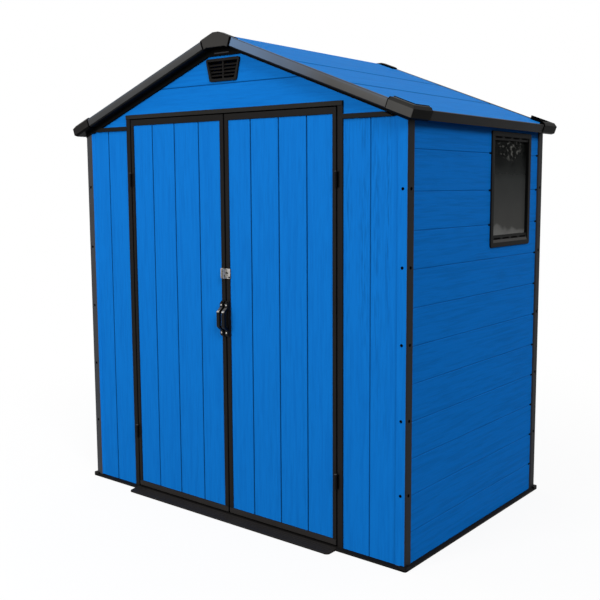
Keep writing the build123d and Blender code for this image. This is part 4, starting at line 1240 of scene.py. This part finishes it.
# %% Door frames and boards
door_low, door_high = span("right_door_frame", 2)
door_low = door_low - 5.0
leaf_x = span("right_door_frame", 0)
board_x, board_z = span("right_door_boards", 0), span("right_door_boards", 2)
board_x, board_z = (board_x[0], board_x[1] + 3.5), (board_z[0] - 8.0, board_z[1])
board_face = span("right_door_boards", 1)[0]
board_thick = 16.0
door_front, door_back = -half_depth, span("right_door_frame", 1)[1]
stiles = board_x[0] - leaf_x[0], leaf_x[1] - board_x[1]
door_rails = board_z[0] - door_low, door_high - board_z[1]


def door_loop(y, share):
    """Rectangle of the door leaf drawn in towards its boards: share 0 is the edge, 1 the inner edge."""
    x_span = (leaf_x[0] + share * stiles[0], leaf_x[1] - share * stiles[1])
    z_span = (door_low + share * door_rails[0], door_high - share * door_rails[1])
    loop = rounded(rectangle(x_span, z_span), 1.5 if share < 0.5 else 0.5, 2)
    return np.insert(loop, 1, y, 1)


frame_loops = np.array([door_loop(y, share) for y, share in (
    (door_back, 0.0), (door_front + 2, 0.0), (door_front + 0.6, 0.03), (door_front, 0.09), (door_front, 0.91),
    (door_front + 0.6, 0.97), (door_front + 2, 1.0), (door_back, 1.0))])
kick_proud, kick_thick = 0.8, 2.0
kick = rectangle((leaf_x[0] + 1, leaf_x[1] - 1), (door_low + 1, board_z[0] - 1))
kick = carried(kick, 1.0, (0, door_front - kick_proud, 0), EAST, UP, NORTH, kick_thick, 0.4)
door_seams = {"right": (148.5, 301.5, 448.0), "left": (157.0, 310.0, 455.0)}
first_boards = {"right": 70, "left": 80}
for side, mirror in MIRROR.items():
    piece(f"moulded_{side}_door_frame", [skin(frame_loops * mirror, loop=True)], trim_plastic,
          body=f"{side}_door", stands_for=[f"{side}_door_frame"])
    piece(f"{side}_door_kick_strip", [skin(kick * mirror)], kick_plastic, body=f"{side}_door")
    sheet = board_sheet(*board_x, door_seams[side], level(board_z[0]), level(board_z[1]),
                        [EAST * mirror, UP, NORTH], (0, board_face, 0), board_thick,
                        first_board=first_boards[side])
    board_piece(f"moulded_{side}_door_boards", [sheet], board_plastic, [f"{side}_door_boards"],
                body=f"{side}_door")

# %% [markdown]
# ## Fittings
# A handle is a flat strap bent from steel. Its middle line is a run of straight pieces; averaging each
# point with its neighbours over 5 mm bends the corners as a press brake does. A rounded strip is then
# carried along it, narrowed to a half circle at both feet and thicker at the back of the grip. On the
# upper bend a bright zinc patch is a painted highlight, and above it a grey patch on the strap is
# painted sheen.

# %% Middle line of a handle
handle_low, handle_high = span("right_door_handle", 2)
handle_middle = (handle_low + handle_high) / 2
strap_x = sum(span("right_door_handle", 0)) / 2
strap_half, strap_thick, strap_bend = 9.0, 8.0, 5
plate_thick, plate_half = 8.0, 9.5
plate_front = door_front - plate_thick
foot_y, grip_y = plate_front - strap_thick / 2, span("right_door_handle", 1)[0] + strap_thick / 2 - 7.0


def bent_strap(corners, bend):
    """Middle line sampled every millimetre and averaged over the bend, with the direction at each point."""
    corners = np.asarray(corners, float)
    steps = np.concatenate([[0], np.cumsum(np.linalg.norm(np.diff(corners, axis=0), axis=1))])
    places = np.linspace(0, steps[-1], int(steps[-1]) + 1)
    line = np.stack([np.interp(places, steps, corners[:, axis]) for axis in (0, 1)], 1)
    window = np.hanning(bend + 2)[1:-1]
    padded = np.pad(line, ((bend // 2, bend // 2), (0, 0)), mode="reflect", reflect_type="odd")
    line = np.stack([np.convolve(padded[:, axis], window / window.sum(), "valid") for axis in (0, 1)], 1)
    heading = np.gradient(line, axis=0)
    return line, heading / np.linalg.norm(heading, axis=1, keepdims=True)


half_route = [(foot_y, 73), (foot_y, 49), (grip_y, 31)]
line, heading = bent_strap(half_route + [(y, -z) for y, z in reversed(half_route)], strap_bend)
outward = np.stack([heading[:, 1], -heading[:, 0]], 1)
print(f"handle: {len(line)} points along the strap")


# %% Handles
def on_strap(x, off, part=slice(None)):
    """Points beside the middle line: x across the strap, off outwards from it, for a part of its length."""
    y = line[part, :1] + outward[part, :1] * off
    z = handle_middle + line[part, 1:] + outward[part, 1:] * off
    return np.stack([np.broadcast_to(strap_x + x, y.shape), y, z], -1)


def highlight_patch(low, high, half):
    """Thin patch on the outside of the strap between two heights over the handle's middle."""
    lit_part = (line[:, 1] > low) & (line[:, 1] < high)
    patch = rounded(rectangle((-half, half), (strap_thick / 2 - 0.5, strap_thick / 2 + 0.25)), 0.2, 2)
    return on_strap(patch[:, 0], patch[:, 1], lit_part)


strap = rounded(rectangle((-strap_half, strap_half), (-strap_thick / 2, strap_thick / 2)), 2.8, 4)
reach = np.minimum(np.arange(len(line)), np.arange(len(line))[::-1])
narrow = np.sqrt(np.clip(1 - np.clip(1 - (reach + 0.4) / strap_half, 0, 1) ** 2, 0.01, 1))
out_share = (foot_y - line[:, :1]) / (foot_y - grip_y)
depth = np.where(strap[:, 1] < 0, strap[:, 1] * (1 + 1.4 * out_share), strap[:, 1])
strap_points = on_strap(narrow[:, None] * strap[:, 0], depth)
back_plate = rectangle((strap_x - plate_half, strap_x + plate_half), (handle_low, handle_high))
back_plate = carried(back_plate, 6.0, (0, plate_front, 0), EAST, UP, NORTH, plate_thick, 2.0, 5)
# Painted highlight: a bright zinc patch on the upper bend; painted sheen: a grey patch on the arm above it.
painted_glint, painted_sheen = highlight_patch(29.9, 35.1, 6.5), highlight_patch(35.6, 47.0, 7.0)
for side, mirror in MIRROR.items():
    piece(f"{side}_handle_painted_glint", [skin(painted_glint * mirror)], zinc, f"{side}_door")
    piece(f"{side}_handle_painted_sheen", [skin(painted_sheen * mirror)], painted_sheen_coat, body=f"{side}_door")
    piece(f"bent_{side}_handle", [skin(strap_points * mirror), skin(back_plate * mirror)], fitting_black,
          body=f"{side}_door", stands_for=[f"{side}_door_handle"])

# %% [markdown]
# The hasp is two angle plates of zinc-plated steel with a hole through each tab for a padlock, filled with
# a black disc as painted shade in the hole. A plate with a hole is a closed loop again: outer rim, inner rim,
# and back, with as many points on each.

# %% Hasp plates
hasp_x, hasp_y, (hasp_low, hasp_high) = (span("right_hasp_plate", axis) for axis in range(3))
sheet_thick, sheet_round = 2.0, 0.4
hole_radius, hole_shade_radius = 4.5, 4.7
plate = rectangle(hasp_x, (hasp_low, hasp_high))
plate = carried(plate, [0.5, 4, 4, 0.5], (0, door_front - sheet_thick, 0), EAST, UP, NORTH, sheet_thick,
                0.5, 4)
tab_corners, tab_rounds = rectangle((hasp_y[0], door_front), (hasp_low, hasp_high)), [5, 0.5, 0.5, 5]
tab, tab_eased = (rounded(tab_corners, tab_rounds, 7, inset) for inset in (0.0, sheet_round))
hole_middle = np.array((door_front - 13.0, hasp_low + 13.0))
angle = np.arctan2(tab[:, 1] - hole_middle[1], tab[:, 0] - hole_middle[0])
circle = np.stack([np.cos(angle), np.sin(angle)], 1)
hole, hole_shade = hole_middle + hole_radius * circle, hole_middle + hole_shade_radius * circle


def tab_section(x, loop):
    """Loop in Y and Z put a distance x inside the tab."""
    return np.insert(loop, 0, hasp_x[0] + x, 1)


tab_loops = np.array([tab_section(x, loop) for x, loop in (
    (0, tab_eased), (sheet_round, tab), (sheet_thick - sheet_round, tab), (sheet_thick, tab_eased),
    (sheet_thick, hole), (0, hole))])
# Painted shade: a black disc fills each padlock hole.
hole_shade = np.array([tab_section(x, hole_shade) for x in (0.3, sheet_thick - 0.2)])
for side, mirror in MIRROR.items():
    piece(f"{side}_hasp_hole_shade", [skin(hole_shade * mirror)], black_caps_and_shade, body=f"{side}_door")
    piece(f"pressed_{side}_hasp_plate", [skin(plate * mirror), skin(tab_loops * mirror, loop=True)], zinc,
          f"{side}_door", [f"{side}_hasp_plate"])

# %% [markdown]
# ### Screws
# A screw head is a shallow dome with a cross pressed into it. The dome is a polar grid: height falls
# with the square of the radius, less the depth of the cross where either arm passes.


# %% Screws
def screw_head(middle, out, radius):
    """Polar dome on a face: rim on the face, crown a third of the radius high, cross in the middle."""
    out = np.asarray(out, float)
    side = np.cross(out, UP if abs(out[2]) < 0.9 else NORTH)
    over = np.cross(side, out)
    ring = np.array([1.0, 1.0, 0.86, 0.62, 0.46, 0.3, 0.12])
    crown = np.array([-0.1, 0.12, 0.26, 0.34, 0.37, 0.38, 0.38])
    arm_half, arm_reach, arm_depth = 0.13, 0.66, 0.22
    turn = np.linspace(0, 2 * np.pi, 24, endpoint=False)
    east, up = ring[:, None] * np.cos(turn), ring[:, None] * np.sin(turn)
    cross = (np.minimum(np.abs(east), np.abs(up)) < arm_half) & (ring < arm_reach)[:, None]
    lift = crown[:, None] - arm_depth * cross
    dome = east[..., None] * side + up[..., None] * over + lift[..., None] * out
    return np.asarray(middle) + radius * dome


post_heights = wall_seams[1::2][:5] + 10.0
post_screw, handle_screw, hasp_screw = 6.0, 4.2, 4.4
post_middle_x, post_middle_y = (half_width + post_inner_x) / 2, (half_depth + post_inner_y) / 2
heads = []
for height in post_heights:
    for x in (-1, 1):
        for y in (-1, 1):
            heads.append(screw_head((x * half_width, y * post_middle_y, height), (x, 0, 0), post_screw))
            proud = strip_proud if (x, y) == (1, -1) else 0
            middle = (x * post_middle_x, y * (half_depth + proud), height)
            heads.append(screw_head(middle, (0, y, 0), post_screw))
piece("post_screws", skinned(heads), black_caps_and_shade)
hasp_middle = (hasp_low + hasp_high) / 2 + 3.0
upper_x = {"right": 11, "left": 20}
for side, mirror in MIRROR.items():
    foot = plate_front - strap_thick
    heads = [screw_head((mirror[0] * strap_x, foot, handle_middle + z), -NORTH, handle_screw)
             for z in (-60, 60)]
    piece(f"{side}_handle_screws", skinned(heads), zinc, f"{side}_door")
    heads = [screw_head((mirror[0] * x, door_front - sheet_thick, z), -NORTH, hasp_screw)
             for x, z in ((upper_x[side], hasp_middle), (23, hasp_low + 6))]
    piece(f"{side}_hasp_screws", skinned(heads), fitting_black, f"{side}_door")

# %% [markdown]
# ### Hinges
# A hinge is a barrel of three knuckles: the outer two belong to the jamb and the middle one to the door.
# A knuckle is a circle carried upwards. Two narrow leaves hold it: the one on the door has the colour of
# the frame, the one on the jamb is black as painted shade beside the barrel. The pins end in small domed
# heads.

# %% Hinges
pin_x, pin_y, knuckle = 599.5, -579.5, 6.4
hinge_low, hinge_high = span("jamb_hinges", 2)
hinge_height, knuckle_gap, pin_head = 61.0, 0.3, 5.6
hinge_feet = (hinge_low, hinge_high - hinge_height)
leaf_wide, leaf_thick = 6.0, 2.0
leaf_starts = {"jamb_leaf": pin_x + knuckle + 0.4, "door_leaf": pin_x - knuckle - 0.6 - leaf_wide}
barrel = rectangle((pin_x - knuckle, pin_x + knuckle), (pin_y - knuckle, pin_y + knuckle))
hinge_parts = {"fixed": [], "moving": [], "jamb_leaf": [], "door_leaf": []}
for foot in hinge_feet:
    for number, kind in enumerate(("fixed", "moving", "fixed")):
        low = foot + number * hinge_height / 3 + knuckle_gap
        hinge_parts[kind].append(carried(barrel, 0.98 * knuckle, (0, 0, low), EAST, NORTH, UP,
                                         hinge_height / 3 - 2 * knuckle_gap, 0.8, 6))
    for kind, start in leaf_starts.items():
        leaf = rectangle((start, start + leaf_wide), (door_front - leaf_thick, door_front))
        hinge_parts[kind].append(carried(leaf, 0.6, (0, 0, foot), EAST, NORTH, UP, hinge_height, 0.4))
piece("jamb_hinge_barrels", skinned(hinge_parts["fixed"], 0), rail_plastic, stands_for=["jamb_hinges"])
# Painted shade: the jamb leaves are black beside the barrel.
piece("jamb_hinge_leaves", skinned(hinge_parts["jamb_leaf"], 0), hinge_leaf_shade)
for side, mirror in MIRROR.items():
    piece(f"{side}_hinge_barrels", [skin(part * mirror) for part in hinge_parts["moving"]], rail_plastic,
          body=f"{side}_door", stands_for=[f"{side}_door_hinges"])
    piece(f"{side}_hinge_leaves", [skin(part * mirror) for part in hinge_parts["door_leaf"]], trim_plastic,
          body=f"{side}_door")
heads = [screw_head((x * pin_x, pin_y, foot + hinge_height), UP, pin_head)
         for x in (-1, 1) for foot in hinge_feet]
piece("hinge_pin_heads", skinned(heads), ledge_plastic)

# %% [markdown]
# A dark block at the end of each groove beside the back posts and the window, where the boards are cut, is
# painted shade in the groove's end.

# %% Painted shade at the groove ends
end_shade_half = 4
end_shades = []
for height in wall_seams:
    beside_window = window_z[0] < height < window_z[1]
    ends = [post_inner_y - 3] + ([window_y[0] - 3] if beside_window else [])
    outlines = [rectangle((y - 11, y + 3), (height - end_shade_half, height + end_shade_half)) for y in ends]
    side_end_shades = [carried(outline, 2.5, (wall_x - 2, 0, 0), NORTH, UP, EAST, 4.0, 1.2)
                  for outline in outlines]
    end_shades += side_end_shades + [side_end_shades[0] * MIRROR["left"]]
piece("groove_end_shades", skinned(end_shades), black_caps_and_shade)

# %% [markdown]
# ## CAD nodes that stay
# Two CAD nodes already have the right shape, so they only get a finish in their own slots.

# %% Finishes on CAD nodes
stays = {"floor_panel": ribbed_floor, "ridge_beam": galvanised}
for name, finish in stays.items():
    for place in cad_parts[name].material_slots:
        place.material = finish
print("finished CAD nodes:", ", ".join(stays))
